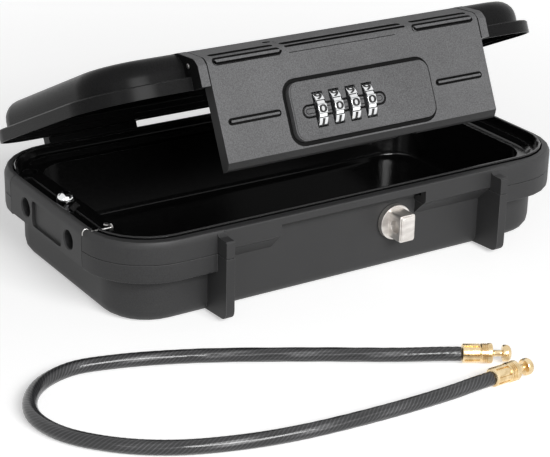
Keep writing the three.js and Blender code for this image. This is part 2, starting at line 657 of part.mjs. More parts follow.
function buildLiner() {
  let liner = loft([
    caseLevel(BEAD_INSET, FLANGE_LOW),
    caseLevel(BEAD_INSET, BEAD_TOP - 0.4),
    caseLevel(BEAD_INSET + 0.4, BEAD_TOP),
  ]);
  const bottom = SHELL_FLOOR + GAP;
  liner = join(liner, loft([
    tubLevel(-TUB_EDGE, bottom),
    tubLevel(-TUB_EDGE * 0.3, bottom + TUB_EDGE * 0.3),
    tubLevel(0, bottom + TUB_EDGE),
    tubLevel(0, FLANGE_LOW + LAP),
  ]));
  // Inside the bead down to the channel's deck, then the slope and the tub right of the channel.
  const crest = BEAD_INSET + BEAD_WIDTH;
  liner = cut(liner, loft([
    caseLevel(crest + 0.3, DECK_TOP),
    caseLevel(crest, BEAD_TOP - 0.5),
    caseLevel(crest - 0.4, BEAD_TOP + 0.1),
  ]));
  const fall = (SLOPE_INSET - crest) / (BEAD_TOP - SLOPE_LOW);
  const slope = loft([
    caseLevel(SLOPE_INSET, SLOPE_LOW),
    caseLevel(SLOPE_INSET - fall * (DECK_TOP - SLOPE_LOW) * 1.2, DECK_TOP + 0.1),
  ]);
  liner = cut(liner, slope.intersect(box(DECK_RIGHT, HALF_L, -HALF_D, HALF_D, 0, BEAD_TOP)));
  const dip = PORT_WIDTH / 2 + BEAD_DIP_PAST;
  liner = cut(liner, box(-HALF_L, DECK_STEP_X, -dip, dip, BEAD_DIP, BEAD_TOP + 1));
  const floor = bottom + TUB_FLOOR;
  liner = cut(liner, loft([
    tubLevel(-TUB_EDGE, floor, TUB_WALL),
    tubLevel(-TUB_EDGE * 0.3, floor + TUB_EDGE * 0.3, TUB_WALL),
    tubLevel(0, floor + TUB_EDGE, TUB_WALL),
    tubLevel(0, SLOPE_LOW + 0.5, TUB_WALL),
    tubLevel(1.2, DECK_TOP + 1, TUB_WALL),
  ]));
  // Room under the deck for the slider's tall ends, and the stepped deck.
  const under = DECK_TOP - 1.4;
  const rimInside = -HALF_L + BEAD_INSET + BEAD_WIDTH + 0.4;
  const half = RETAINER_LENGTH / 2 + RETAINER_TRAVEL + 2;
  const shallow = RETAINER_DIP - RETAINER_TRAVEL - 0.6;
  liner = cut(liner,
    box(rimInside, TUB_LEFT - GAP, KNOB_Y + shallow, half, FLANGE_LOW - 1, under),
    box(rimInside, TUB_LEFT - GAP, -half, KNOB_Y - shallow, FLANGE_LOW - 1, under));
  [PORT_BACK_Y, PORT_FRONT_Y].forEach((y) => {
    liner = cut(liner, rod("x", -HALF_L, RETAINER_X, [y, PORT_HEIGHT], PORT_BORE + PORT_COLLAR + GAP));
  });
  liner = cut(liner,
    box(rimInside - 0.1, DECK_STEP_X, PIN_Y + PIN_HEAD, KEY_HOLE_Y - 2 * KEY_HOLE.r,
      DECK_TOP - DECK_STEP, BEAD_TOP));
  const lane = RETAINER_TRAVEL + KNOB_RADIUS + 0.35;
  const well = roundedOutline(RETAINER_X - KNOB_RADIUS - 0.35, RETAINER_X + KNOB_RADIUS + 0.35,
    KNOB_Y - lane, KNOB_Y + lane, KNOB_RADIUS, 5);
  const slotHalf = STEM_RADIUS + 0.3;
  const slot = roundedOutline(RETAINER_X - slotHalf, RETAINER_X + slotHalf,
    KNOB_Y - RETAINER_TRAVEL - slotHalf, KNOB_Y + RETAINER_TRAVEL + slotHalf, slotHalf - 0.01, 4);
  liner = cut(liner,
    alongZ(well, KNOB_WELL, BEAD_TOP),
    alongZ(slot, FLANGE_LOW - 1, BEAD_TOP),
    rod("z", FLANGE_LOW - 1, BEAD_TOP, [KEY_HOLE_X, KEY_HOLE_Y], KEY_HOLE.r, 20),
    rod("z", FLANGE_LOW - 1, BEAD_TOP, [RIVET_X, RIVET_Y], RIVET.r / 2 + GAP, 12));
  // A pad under the headed pin, short of its head.
  const padTop = PIN_HEIGHT - PIN_RADIUS - GAP;
  const padEnd = -HALF_L + PIN_SET + PIN_LENGTH - PIN_RADIUS;
  return join(liner,
    box(rimInside + 0.6, padEnd, PIN_Y - 1.2, PIN_Y + 1.2, DECK_TOP - LAP, padTop));
}

function buildHeadedPin() {
  const start = -HALF_L + PIN_SET;
  const end = start + PIN_LENGTH;
  return join(
    rod("x", start, end, [PIN_Y, PIN_HEIGHT], PIN_RADIUS, 12),
    rod("x", end - LAP, end + 0.6, [PIN_Y, PIN_HEIGHT], PIN_HEAD, 16));
}

function buildRivet() {
  return join(
    rod("z", DECK_TOP + GAP, DECK_TOP + GAP + RIVET.high, [RIVET_X, RIVET_Y], RIVET.r, 16, RIVET.r * 0.6),
    rod("z", FLANGE_LOW + 1, DECK_TOP + GAP + RIVET.high / 2, [RIVET_X, RIVET_Y], RIVET.r / 2, 12));
}

function buildStud() {
  const seat = FRONT_WALL - GAP;
  const neck = seat - STUD_FLANGE_THICK;
  const end = FRONT_WALL - STUD_END;
  const section = (grow) => roundedOutline(
    STUD_X - STUD_WIDTH / 2 - grow, STUD_X + STUD_WIDTH / 2 + grow,
    STUD_Z - STUD_TALL / 2 - grow, STUD_Z + STUD_TALL / 2 + grow, 1, 3);
  let stud = join(
    rod("y", neck, seat, [STUD_X, STUD_Z], STUD_FLANGE, 32),
    alongY(section(0), end + STUD_BEVEL, neck + LAP),
    alongY(section(-STUD_BEVEL * 0.5), end + STUD_BEVEL * 0.3, end + STUD_BEVEL + 0.1),
    alongY(section(-STUD_BEVEL), end, end + STUD_BEVEL * 0.4),
    rod("y", seat - LAP, FRONT_WALL + SHELL_WALL + STUD_RING / 4, [STUD_X, STUD_Z], STUD_SHANK, 20));
  const left = STUD_X - STUD_WIDTH / 2;
  return cut(stud, rod("x", left - 1, left + DIMPLE.deep, [DIMPLE_Y, DIMPLE.z], DIMPLE.r, 20));
}

function buildStudRing() {
  const inside = FRONT_WALL + SHELL_WALL + GAP;
  return cut(
    rod("y", inside, inside + 1, [STUD_X, STUD_Z], STUD_RING, 24),
    rod("y", inside - 1, inside + 2, [STUD_X, STUD_Z], STUD_SHANK + GAP, 20));
}

function buildHingePin([x0, x1]) {
  const middle = Math.sign(x0 + x1);
  const from = middle > 0 ? x0 - LUG_WIDTH : x0 - LUG_WIDTH + 1 + GAP;
  const to = middle > 0 ? x1 + LUG_WIDTH - 1 - GAP : x1 + LUG_WIDTH;
  return rod("x", from, to, [HINGE_Y, HINGE_Z], HINGE_PIN, 16);
}

add("base_shell", buildBaseShell(), SHELL_PLASTIC);
add("rim_frame", buildRimFrame(), SHELL_PLASTIC);
add("cable_port_block", buildPortBlock(), SHELL_PLASTIC);
add("liner_tray", buildLiner(), LINER_PLASTIC);
add("cable_retainer", buildRetainer(), ZINC);
add("retainer_knob", buildKnob(), CHROME);
add("headed_pin", buildHeadedPin(), CHROME);
add("channel_rivet", buildRivet(), CHROME);
add("lock_stud", buildStud(), STEEL);
add("stud_ring", buildStudRing(), STEEL);
ARMS.forEach((arm, i) => add("hinge_pin_" + (i + 1), buildHingePin(arm), STEEL));

// The lid. The dome's front is cut back between its fins to make room for the flap.
function lidLevel(inset, z) {
  return level(LID_HALF - inset, HALF_D - inset, LID_CORNER - inset, z);
}

const SLOPE_RISE = Math.tan(THREE.MathUtils.degToRad(FLAP_SLOPE));
const SHOULDER_Y = FLAP_FRONT + FLAP_SHOULDER;
const SHOULDER_Z = 48.4;
const SHOULDER_END = arc(SHOULDER_Y, SHOULDER_Z, FLAP_SHOULDER, 180, 90 + FLAP_SLOPE, 5).pop();
const slopeHeight = (y) => SHOULDER_END[1] + (y - SHOULDER_END[0]) * SLOPE_RISE;

function buildLid() {
  const ceiling = LID_TOP - LID_WALL;
  const wall = DOME_INSET + LID_WALL;
  const edge = DOME_EDGE;
  const outerRound = arc(0, 0, edge, 0, 90, 6).map(([u, v]) =>
    lidLevel(DOME_INSET + edge - u, LID_TOP - edge + v));
  const inner = edge - LID_WALL;
  const innerRound = arc(0, 0, inner, 90, 0, 3).map(([u, v]) =>
    lidLevel(wall + inner - u, ceiling - inner + v));
  let lid = loft([
    ...innerRound,
    lidLevel(wall, LID_FLANGE - LID_WALL),
    lidLevel(LID_WALL, LID_FLANGE - LID_WALL),
    lidLevel(LID_WALL, LID_BOTTOM + LID_LIP_HIGH),
    lidLevel(LID_LIP, LID_BOTTOM + LID_LIP_HIGH),
    lidLevel(LID_LIP, LID_BOTTOM),
    lidLevel(0, LID_BOTTOM),
    lidLevel(0, LID_FLANGE - 0.5),
    lidLevel(0.5, LID_FLANGE),
    lidLevel(DOME_INSET, LID_FLANGE),
    ...outerRound,
  ]);
  const back = -(HALF_D - DOME_INSET - DOME_EDGE);
  const well = Math.abs(FLAP_AXIS_Y) - FLAP_WELL;
  lid = cut(lid, box(-FIN_INNER, FIN_INNER, FIN_FRONT, back, LID_FLANGE - LID_WALL, LID_TOP + 1));
  const mouth = THREE.MathUtils.radToDeg(Math.asin((LID_TOP - 0.5 - FLAP_AXIS_Z) / FLAP_WELL));
  const outerMouth = mouth * 0.55;
  const front = [
    [back + LAP, LID_TOP],
    [back, LID_TOP],
    ...arc(FLAP_AXIS_Y, FLAP_AXIS_Z, FLAP_WELL, mouth, 0, 5),
    [-well, LID_FLANGE],
    [-HALF_D + 1, LID_FLANGE],
    [-HALF_D + 1, LID_FLANGE - LID_WALL],
    [-well + LID_WALL, LID_FLANGE - LID_WALL],
    ...arc(FLAP_AXIS_Y, FLAP_AXIS_Z, FLAP_WELL + LID_WALL, 0, outerMouth, 3),
    [back + LAP, ceiling],
  ];
  lid = join(lid, alongX(front, -FIN_INNER - LAP, FIN_INNER + LAP));
  const fin = [
    [back, LID_FLANGE - LID_WALL],
    [back, LID_TOP],
    [FLAP_REAR, slopeHeight(FLAP_REAR) + 0.1],
    [SHOULDER_END[0], SHOULDER_END[1] + 0.1],
    [FIN_FRONT + 1.6, FLAP_AXIS_Z + 1.2],
    [FIN_FRONT, FLAP_AXIS_Z - 1.4],
    [FIN_FRONT, LID_BOTTOM],
    [-HALF_D + LID_WALL, LID_BOTTOM],
    [-HALF_D + LID_WALL, LID_FLANGE - LID_WALL],
  ];
  SIDES.forEach((side) => {
    lid = join(lid, alongX(fin, ...finSpan(side)));
  });
  // Pin holes in the fins, and a seat for the pin's head on the outside.
  SIDES.forEach((side) => {
    const [x0, x1] = finSpan(side);
    lid = cut(lid, rod("x", x0 - 1, x1 + 1, [FLAP_AXIS_Y, FLAP_AXIS_Z], FLAP_PIN + GAP, 12));
  });
  // Rear arms down to the hinge.
  const arm = [
    [HALF_D - LID_WALL, LID_FLANGE],
    [HALF_D - LID_WALL, LID_BOTTOM + 0.6],
    [HALF_D + 0.4, LID_BOTTOM - 0.3],
    [HALF_D + 0.4, HINGE_Z + BARREL_RADIUS],
    ...arc(HINGE_Y, HINGE_Z, BARREL_RADIUS, 130, 360, 12),
    [ARM_BACK, HINGE_Z + 2],
    [ARM_BACK, LID_FLANGE - 2],
    [ARM_BACK - 2, LID_FLANGE],
  ];
  ARMS.forEach(([x0, x1]) => {
    lid = join(lid, alongX(arm, x0, x1));
    lid = cut(lid, rod("x", x0 - 1, x1 + 1, [HINGE_Y, HINGE_Z], HINGE_PIN + GAP, 16));
  });
  return lid;
}

function buildLidLiner() {
  const wall = DOME_INSET + LID_WALL + GAP;
  const rear = HALF_D - wall;
  const well = Math.abs(FLAP_AXIS_Y) - FLAP_WELL - LID_WALL - GAP;
  const at = (inset, z) => level(LID_HALF - wall - inset, (rear + well) / 2 - inset,
    LID_CORNER - wall - inset, z, 0, (rear - well) / 2);
  const high = LID_TOP - LID_WALL - GAP;
  const edge = DOME_EDGE - LID_WALL;
  return loft([
    at(edge * 0.6 + LINER_WALL, high - LINER_WALL),
    at(LINER_WALL, high - LINER_WALL - edge * 0.6),
    at(LINER_WALL, LID_FLANGE),
    at(0, LID_FLANGE),
    at(0, high - edge),
    at(edge * 0.35, high - edge * 0.35),
    at(edge, high),
  ]);
}

// The flap: a skin over the front with a deep rim, a shoulder, and a top that slopes back.
function flapOutline(inset, rear) {
  const slope = arc(SHOULDER_Y, SHOULDER_Z, FLAP_SHOULDER - inset, 90 + FLAP_SLOPE, 180, 5);
  const drop = (FLAP_TOP_SKIN - 0.02) / Math.cos(THREE.MathUtils.degToRad(FLAP_SLOPE));
  const down = inset > 0 ? drop : 0;
  return [[rear, slopeHeight(rear) - down], ...slope];
}

function buildFlap() {
  const low = FLAP_BOTTOM;
  const outside = [
    ...flapOutline(0, FLAP_REAR),
    [FLAP_FRONT, low + FLAP_BEVEL],
    [FLAP_FRONT + 1.9, low + 0.7],
    [FLAP_FRONT + 3.4, low],
  ];
  // The full side profile of the cheeks, down to the deep rim.
  const cheek = [
    ...outside,
    [FLAP_BACK, low],
    [FLAP_BACK, FLAP_AXIS_Z - FLAP_HUB - 1],
    ...arc(FLAP_AXIS_Y, FLAP_AXIS_Z, FLAP_HUB, 250, 360, 5),
    [FLAP_REAR, slopeHeight(FLAP_REAR) - FLAP_TOP_SKIN],
  ];
  // The skin alone, between the cheeks.
  const innerFront = FLAP_FRONT + FLAP_SKIN;
  const skin = [
    ...outside,
    [FLAP_BACK, low],
    [FLAP_BACK, low + FLAP_RIM],
    [innerFront, low + FLAP_RIM],
    [innerFront, SHOULDER_Z],
    ...flapOutline(FLAP_SKIN, FLAP_REAR).slice(1).reverse().slice(1),
    [FLAP_REAR, slopeHeight(FLAP_REAR) - FLAP_TOP_SKIN],
  ];
  let flap = alongX(skin, -FLAP_HALF, FLAP_HALF);
  SIDES.forEach((side) => {
    const inner = side * (FLAP_HALF - FLAP_RIM);
    const outer = side * FLAP_HALF;
    flap = join(flap, alongX(cheek, Math.min(inner, outer), Math.max(inner, outer)));
    const hubEnd = side * (FLAP_HALF - FLAP_HUB_LENGTH);
    const x0 = Math.min(hubEnd, outer);
    const x1 = Math.max(hubEnd, outer);
    flap = join(flap, rod("x", x0, x1, [FLAP_AXIS_Y, FLAP_AXIS_Z], FLAP_HUB, 20));
    const boreEnd = side * (FLAP_HALF - FLAP_HUB_LENGTH + 1.5);
    const mouth = side * (FLAP_HALF + 1);
    flap = cut(flap, rod("x", Math.min(boreEnd, mouth), Math.max(boreEnd, mouth),
      [FLAP_AXIS_Y, FLAP_AXIS_Z], FLAP_PIN + GAP, 12));
  });
  const ribs = [
    [TOP_RIB.inner, FLAP_HALF - TOP_RIB.set, TOP_RIB],
    [PANEL_HALF + LOW_RIB.clear, FLAP_HALF - LOW_RIB.set, LOW_RIB],
  ];
  ribs.forEach(([x0, x1, { z0, z1 }]) => {
    SIDES.forEach((side) => {
      const outline = roundedOutline(Math.min(side * x0, side * x1), Math.max(side * x0, side * x1),
        z0, z1, (z1 - z0) / 2 - 0.01, 4);
      flap = join(flap, alongY(outline, FLAP_FRONT - RIB_HIGH, FLAP_FRONT + 2 * LAP));
    });
  });
  // Recess for the lock plate, a window in it for the wheels and the way past the stud.
  const panel = roundedOutline(-PANEL_HALF, PANEL_HALF, PANEL_LOW, PANEL_HIGH, PANEL_CORNER);
  const floor = FLAP_FRONT + PANEL_DEEP;
  const post = STUD_WIDTH / 2 + POST_SIDE;
  const passage = FRONT_WALL - STUD_END - 0.6;
  return cut(flap,
    alongY(panel, FLAP_FRONT - 1, floor),
    box(BOX_LEFT + BOX_WALL, BOX_RIGHT - BOX_WALL, floor - 1, innerFront + 1,
      BOX_LOW + BOX_WALL, BOX_HIGH - BOX_TOP_WALL),
    box(STUD_X - post, STUD_X + post, passage, FLAP_BACK + 1, low - 1, low + FLAP_RIM + 1));
}

const dialX = Array.from({ length: DIAL_COUNT }, (_, i) => DIAL_FIRST_X + i * DIAL_PITCH);

function buildFaceplate() {
  const inset = PANEL_GROOVE;
  const front = FLAP_FRONT - PANEL_RAISED;
  const back = FLAP_FRONT + PANEL_DEEP - GAP;
  const outline = (grow) => roundedOutline(-PANEL_HALF + inset - grow, PANEL_HALF - inset + grow,
    PANEL_LOW + inset - grow, PANEL_HIGH - inset + grow, PANEL_CORNER - inset + grow);
  let plateBody = join(
    alongY(outline(-0.5), front, back),
    alongY(outline(0), front + 0.5, back));
  // Each window has a hollow behind it that follows the wheel.
  const slack = WINDOW_WIDTH / 2;
  dialX.forEach((x) => {
    plateBody = cut(plateBody,
      box(x - slack, x + slack, front - 1, back + 1, DIAL_Z - WINDOW_TALL / 2, DIAL_Z + WINDOW_TALL / 2),
      rod("x", x - slack, x + slack, [DIAL_Y, DIAL_Z], DIAL_RADIUS + GAP, DIAL_FLATS));
  });
  const r = (INDEX_SLOT.z1 - INDEX_SLOT.z0) / 2 - 0.01;
  const index = roundedOutline(INDEX_SLOT.x0, INDEX_SLOT.x1, INDEX_SLOT.z0, INDEX_SLOT.z1, r, 5);
  const { wide } = INDEX_SLOT;
  const bar = roundedOutline(INDEX_SLOT.x0 + wide, INDEX_SLOT.x1 - wide,
    INDEX_SLOT.z0 + wide, INDEX_SLOT.z1 - wide, r - wide, 5);
  const groove = cut(alongY(index, front - 1, front + INDEX_SLOT.deep), alongY(bar, front - 2, front + 2));
  return cut(plateBody, groove);
}

// The box behind the flap that holds the wheels, open to the front and rear.
const BOX_FRONT = FLAP_FRONT + FLAP_SKIN + GAP;
const SCREWS = [
  [BOX_LEFT + 2.9, BOX_HIGH - 2.9], [BOX_RIGHT - 2.9, BOX_HIGH - 2.9],
  [BOX_LEFT + 2.9, BOX_LOW + BOX_RAMP + BOSS_RISE], [BOX_RIGHT - 2.9, BOX_LOW + BOX_RAMP + BOSS_RISE],
];

function buildHousing() {
  const ramp = BOX_LOW + BOX_RAMP - BOX_BACK;
  const innerRamp = ramp + RAMP_WALL * Math.SQRT2;
  const innerLow = BOX_LOW + BOX_WALL;
  const innerHigh = BOX_HIGH - BOX_TOP_WALL;
  const profile = [
    [BOX_FRONT, BOX_LOW],
    [BOX_BACK - BOX_RAMP, BOX_LOW],
    [BOX_BACK, BOX_LOW + BOX_RAMP],
    [BOX_BACK, BOX_HIGH],
    [BOX_FRONT, BOX_HIGH],
  ];
  const hollow = [
    [BOX_FRONT - 1, innerLow],
    [innerLow - innerRamp, innerLow],
    [BOX_BACK + 1, BOX_BACK + 1 + innerRamp],
    [BOX_BACK + 1, innerHigh],
    [BOX_FRONT - 1, innerHigh],
  ];
  const whole = alongX(profile, BOX_LEFT, BOX_RIGHT);
  let housing = cut(whole,
    alongX(hollow, BOX_LEFT + BOX_WALL, BOX_RIGHT - BOX_WALL));
  // A cheek on the stud's far side, carried over it by a bridge.
  const post = STUD_WIDTH / 2 + POST_SIDE;
  const cheekX = STUD_X + post;
  const cheekHigh = BOX_HIGH - 0.5;
  const bridgeLow = STUD_Z + STUD_TALL / 2 + POST_SIDE;
  const cheek = [
    [BOX_FRONT, BOX_LOW + 1],
    [POST_BACK - BOX_RAMP, BOX_LOW + 1],
    [POST_BACK, BOX_LOW + 1 + BOX_RAMP],
    [POST_BACK, cheekHigh],
    [BOX_FRONT, cheekHigh],
  ];
  housing = join(housing,
    alongX(cheek, cheekX, cheekX + 2.4),
    box(BOX_RIGHT - LAP, cheekX + LAP, BOX_FRONT, POST_BACK, bridgeLow, cheekHigh));
  SCREWS.forEach(([x, z]) => {
    const boss = rod("y", BOX_BACK - SCREW_LENGTH, BOX_BACK, [x, z], BOSS_RADIUS, 16);
    const outward = x + Math.sign(x) * BOSS_RADIUS;
    const side = box(Math.min(x, outward), Math.max(x, outward),
      BOX_BACK - SCREW_LENGTH, BOX_BACK, z - BOSS_WEB, z + BOSS_WEB);
    housing = join(housing, boss.intersect(whole), side.intersect(whole));
    housing = cut(housing,
      rod("y", BOX_BACK - SCREW_LENGTH + 0.5, BOX_BACK + 1, [x, z], SCREW_RADIUS + GAP, 12));
  });
  return cut(housing,
    rod("x", BOX_RIGHT - BOX_WALL - 1, BOX_RIGHT + 1, [DIMPLE_Y, DIMPLE.z], BOLT_RADIUS + GAP, 20),
    rod("x", BOX_LEFT - 1, BOX_LEFT + BOX_WALL + 1, [DIAL_Y, DIAL_Z], SHAFT_RADIUS + GAP, 16));
}

function buildBoxCover() {
  const front = BOX_BACK + GAP;
  const back = front + COVER_THICK;
  const outline = roundedOutline(BOX_LEFT, BOX_RIGHT - 0.6, BOX_LOW + BOX_RAMP, BOX_HIGH, 1.5, 3);
  let cover = alongY(outline, front, back);
  SCREWS.forEach(([x, z]) => {
    cover = cut(cover,
      rod("y", front - 0.1, back + 0.1, [x, z], SCREW_RADIUS + GAP, 16, SCREW_HEAD + GAP));
  });
  return cover;
}

function buildCoverScrew([x, z]) {
  const front = BOX_BACK + GAP;
  return join(
    rod("y", BOX_BACK - SCREW_LENGTH + 1, front + LAP, [x, z], SCREW_RADIUS, 12),
    rod("y", front, front + COVER_THICK, [x, z], SCREW_RADIUS, 16, SCREW_HEAD));
}

const BOLT_END = STUD_X - STUD_WIDTH / 2 - BOLT_GAP;

function buildShaft() {
  const end = BOLT_END - BOLT_LENGTH - GAP;
  return rod("x", BOX_LEFT, end, [DIAL_Y, DIAL_Z], SHAFT_RADIUS, 20);
}

function buildDial(x) {
  const x0 = x - DIAL_WIDTH / 2;
  const x1 = x + DIAL_WIDTH / 2;
  const chamfer = 0.5;
  const wheel = join(
    rod("x", x0 + chamfer, x1 - chamfer, [DIAL_Y, DIAL_Z], DIAL_RADIUS, DIAL_FLATS),
    rod("x", x0, x0 + chamfer, [DIAL_Y, DIAL_Z], DIAL_RADIUS - chamfer, DIAL_FLATS, DIAL_RADIUS),
    rod("x", x1 - chamfer, x1, [DIAL_Y, DIAL_Z], DIAL_RADIUS, DIAL_FLATS, DIAL_RADIUS - chamfer));
  return cut(wheel, rod("x", x0 - 1, x1 + 1, [DIAL_Y, DIAL_Z], DIAL_BORE, 20));
}

// The cam beside a wheel has a gate in its rim for the bolt's release.
function buildCam(x) {
  const x0 = x + DIAL_WIDTH / 2 + (DIAL_PITCH - DIAL_WIDTH - CAM_WIDTH) / 2;
  const x1 = x0 + CAM_WIDTH;
  return cut(
    rod("x", x0, x1, [DIAL_Y, DIAL_Z], CAM_RADIUS, 24),
    rod("x", x0 - 1, x1 + 1, [DIAL_Y, DIAL_Z], DIAL_BORE, 20),
    box(x0 - 1, x1 + 1, DIAL_Y + CAM_RADIUS - 0.6, DIAL_Y + CAM_RADIUS + 1, DIAL_Z - 0.6, DIAL_Z + 0.6));
}

// A leaf along the top rear of the box that clicks the wheels into place.
function buildDetent() {
  const top = BOX_HIGH - BOX_TOP_WALL - GAP;
  const back = BOX_BACK - GAP;
  const x0 = BOX_LEFT + BOX_WALL + BOSS_RADIUS + 2.4;
  const x1 = BOX_RIGHT - BOX_WALL - BOSS_RADIUS - 2.4;
  const leaf = [[back, top], [back - 2.6, top], [back - 2.6, top - 0.6], [back - 0.6, top - 0.6],
    [back - 0.6, top - 2.6], [back, top - 2.6]];
  return alongX(leaf, x0, x1);
}

function buildBolt() {
  return join(
    rod("x", BOLT_END - BOLT_LENGTH, BOLT_END - 0.5, [DIMPLE_Y, DIMPLE.z], BOLT_RADIUS, 20),
    rod("x", BOLT_END - 0.5, BOLT_END, [DIMPLE_Y, DIMPLE.z], BOLT_RADIUS, 20, BOLT_RADIUS - 0.5));
}

function buildFlapPin(side) {
  const inner = FLAP_HALF - FLAP_HUB_LENGTH + 1.5 + GAP;
  const outer = FIN_INNER + FIN_THICK + GAP;
  return rod("x", Math.min(side * inner, side * outer), Math.max(side * inner, side * outer),
    [FLAP_AXIS_Y, FLAP_AXIS_Z], FLAP_PIN, 16);
}

addToLid("lid_shell", buildLid(), LID_PLASTIC);
addToLid("lid_liner", buildLidLiner(), LINER_PLASTIC);
SIDES.forEach((side, i) => addToLid("flap_pin_" + (i + 1), buildFlapPin(side), STEEL));
addToLid("flap_plate", buildFlap(), FLAP_PLASTIC);
addToLid("lock_faceplate", buildFaceplate(), FLAP_PLASTIC);
addToLid("lock_housing", buildHousing(), SHELL_PLASTIC);
addToLid("lock_cover", buildBoxCover(), ZINC);
SCREWS.forEach((place, i) => addToLid("cover_screw_" + (i + 1), buildCoverScrew(place), STEEL));
addToLid("dial_shaft", buildShaft(), STEEL);
addToLid("detent_spring", buildDetent(), STEEL);
addToLid("latch_bolt", buildBolt(), STEEL);
dialX.forEach((x, i) => {
  addToLid("dial_wheel_" + (i + 1), buildDial(x), CHROME);
  addToLid("number_cam_" + (i + 1), buildCam(x), ZINC);
});

// The security cable and its two end fittings, lying in front of the case.
function buildCable() {
  const route = new THREE.CatmullRomCurve3(CABLE_ROUTE.map((point) => new THREE.Vector3(...point)));
  const section = new THREE.Shape(Array.from({ length: CABLE_SIDES }, (_, i) => {
    const angle = ((i + 0.5) / CABLE_SIDES) * 2 * Math.PI;
    return new THREE.Vector2(CABLE_RADIUS * Math.cos(angle), CABLE_RADIUS * Math.sin(angle));
  }));
  console.log("cable length", route.getLength().toFixed(1));
  return solid(new THREE.ExtrudeGeometry(section, {
    steps: CABLE_STEPS, extrudePath: route, bevelEnabled: false,
  }));
}

// A fitting's two pieces, along +X from the cable's end at the origin.
function buildFerrule() {
  const hex = BARREL_LENGTH - KNURL_LENGTH;
  return join(
    rod("x", GAP, GAP + hex, [0, 0], BARREL_BRASS, 16),
    rod("x", GAP + hex - 0.5, GAP + BARREL_LENGTH - 0.6, [0, 0], BARREL_BRASS + KNURL_GROW, 24),
    rod("x", GAP + BARREL_LENGTH - 0.7, GAP + BARREL_LENGTH, [0, 0], BARREL_BRASS, 24, BARREL_BRASS - 0.8));
}

function buildHead() {
  const start = BARREL_LENGTH + 2 * GAP;
  const shoulder = start + NECK_LENGTH;
  const end = shoulder + HEAD_LENGTH;
  return join(
    rod("x", start, shoulder + 0.5, [0, 0], NECK_BRASS, 16),
    rod("x", shoulder, shoulder + HEAD_EDGE, [0, 0], HEAD_BRASS - HEAD_EDGE, 20, HEAD_BRASS),
    rod("x", shoulder + HEAD_EDGE, end - HEAD_EDGE, [0, 0], HEAD_BRASS, 20),
    rod("x", end - HEAD_EDGE, end, [0, 0], HEAD_BRASS, 20, HEAD_BRASS - HEAD_EDGE));
}

function addFitting(name, place, from) {
  const turn = Math.atan2(place[1] - from[1], place[0] - from[0]);
  const fitting = new THREE.Group();
  fitting.position.set(place[0], place[1], BARREL_BRASS + KNURL_GROW);
  fitting.rotation.z = turn;
  [["ferrule", buildFerrule()], ["head", buildHead()]].forEach(([piece, body]) => {
    const mesh = new THREE.Mesh(geometryOf(body), BRASS);
    mesh.name = name + "_" + piece;
    fitting.add(mesh);
  });
  group.add(fitting);
}

add("cable", buildCable(), VINYL);
addFitting("cable_first", CABLE_ROUTE[0], CABLE_ROUTE[1]);
addFitting("cable_second", CABLE_ROUTE.at(-1), CABLE_ROUTE.at(-2));

export default group;
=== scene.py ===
# %% [markdown]
# # A portable car safe, open, with its security cable
# The safe is a moulded black case with a lid hinged at the rear. A flap with a four-wheel
# lock hangs in the front of the lid. The cable that ties it to a seat lies before it.
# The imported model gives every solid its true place, so this file adds what a solid
# can't show: soft edges, grain, figures on the wheels, strands in the cable, and light.

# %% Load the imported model
import math

import bmesh
import bpy
from mathutils import Matrix, Vector


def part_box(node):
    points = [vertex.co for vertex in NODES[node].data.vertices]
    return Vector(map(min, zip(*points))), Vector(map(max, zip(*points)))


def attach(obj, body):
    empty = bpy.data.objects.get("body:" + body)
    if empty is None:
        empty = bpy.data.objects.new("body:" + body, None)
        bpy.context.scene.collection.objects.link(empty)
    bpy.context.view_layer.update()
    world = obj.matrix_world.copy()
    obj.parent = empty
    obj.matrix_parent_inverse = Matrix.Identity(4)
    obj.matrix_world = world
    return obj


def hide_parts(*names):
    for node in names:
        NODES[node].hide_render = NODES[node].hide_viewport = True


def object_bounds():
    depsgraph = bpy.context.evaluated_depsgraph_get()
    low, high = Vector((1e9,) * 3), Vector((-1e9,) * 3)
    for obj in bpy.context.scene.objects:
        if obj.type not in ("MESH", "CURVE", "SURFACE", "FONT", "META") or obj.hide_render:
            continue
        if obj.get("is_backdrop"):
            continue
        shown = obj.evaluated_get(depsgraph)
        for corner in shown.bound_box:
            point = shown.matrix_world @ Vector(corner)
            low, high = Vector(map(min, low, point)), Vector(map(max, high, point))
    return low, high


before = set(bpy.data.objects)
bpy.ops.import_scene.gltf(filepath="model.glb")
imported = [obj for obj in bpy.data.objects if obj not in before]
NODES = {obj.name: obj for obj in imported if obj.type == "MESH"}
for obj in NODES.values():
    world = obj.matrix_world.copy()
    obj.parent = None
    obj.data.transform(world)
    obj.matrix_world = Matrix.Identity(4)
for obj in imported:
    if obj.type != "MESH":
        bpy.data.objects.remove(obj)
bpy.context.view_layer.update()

MM = 0.001

# %% [markdown]
# ## The camera
# A product photograph is taken with a long lens from a little above, so the lines hardly
# converge. The camera is placed by its position, the way it faces round the object, how
# steeply it looks down, and a slight roll to the side.

# %% Camera
CAMERA_PLACE = Vector((-0.40977, -0.6272, 0.31769))
CAMERA_TURN, CAMERA_DOWN, CAMERA_ROLL = -32.92, 22.83, 1.135  # degrees
CAMERA_LENS = 114.44  # millimetres, on a 36 mm sensor

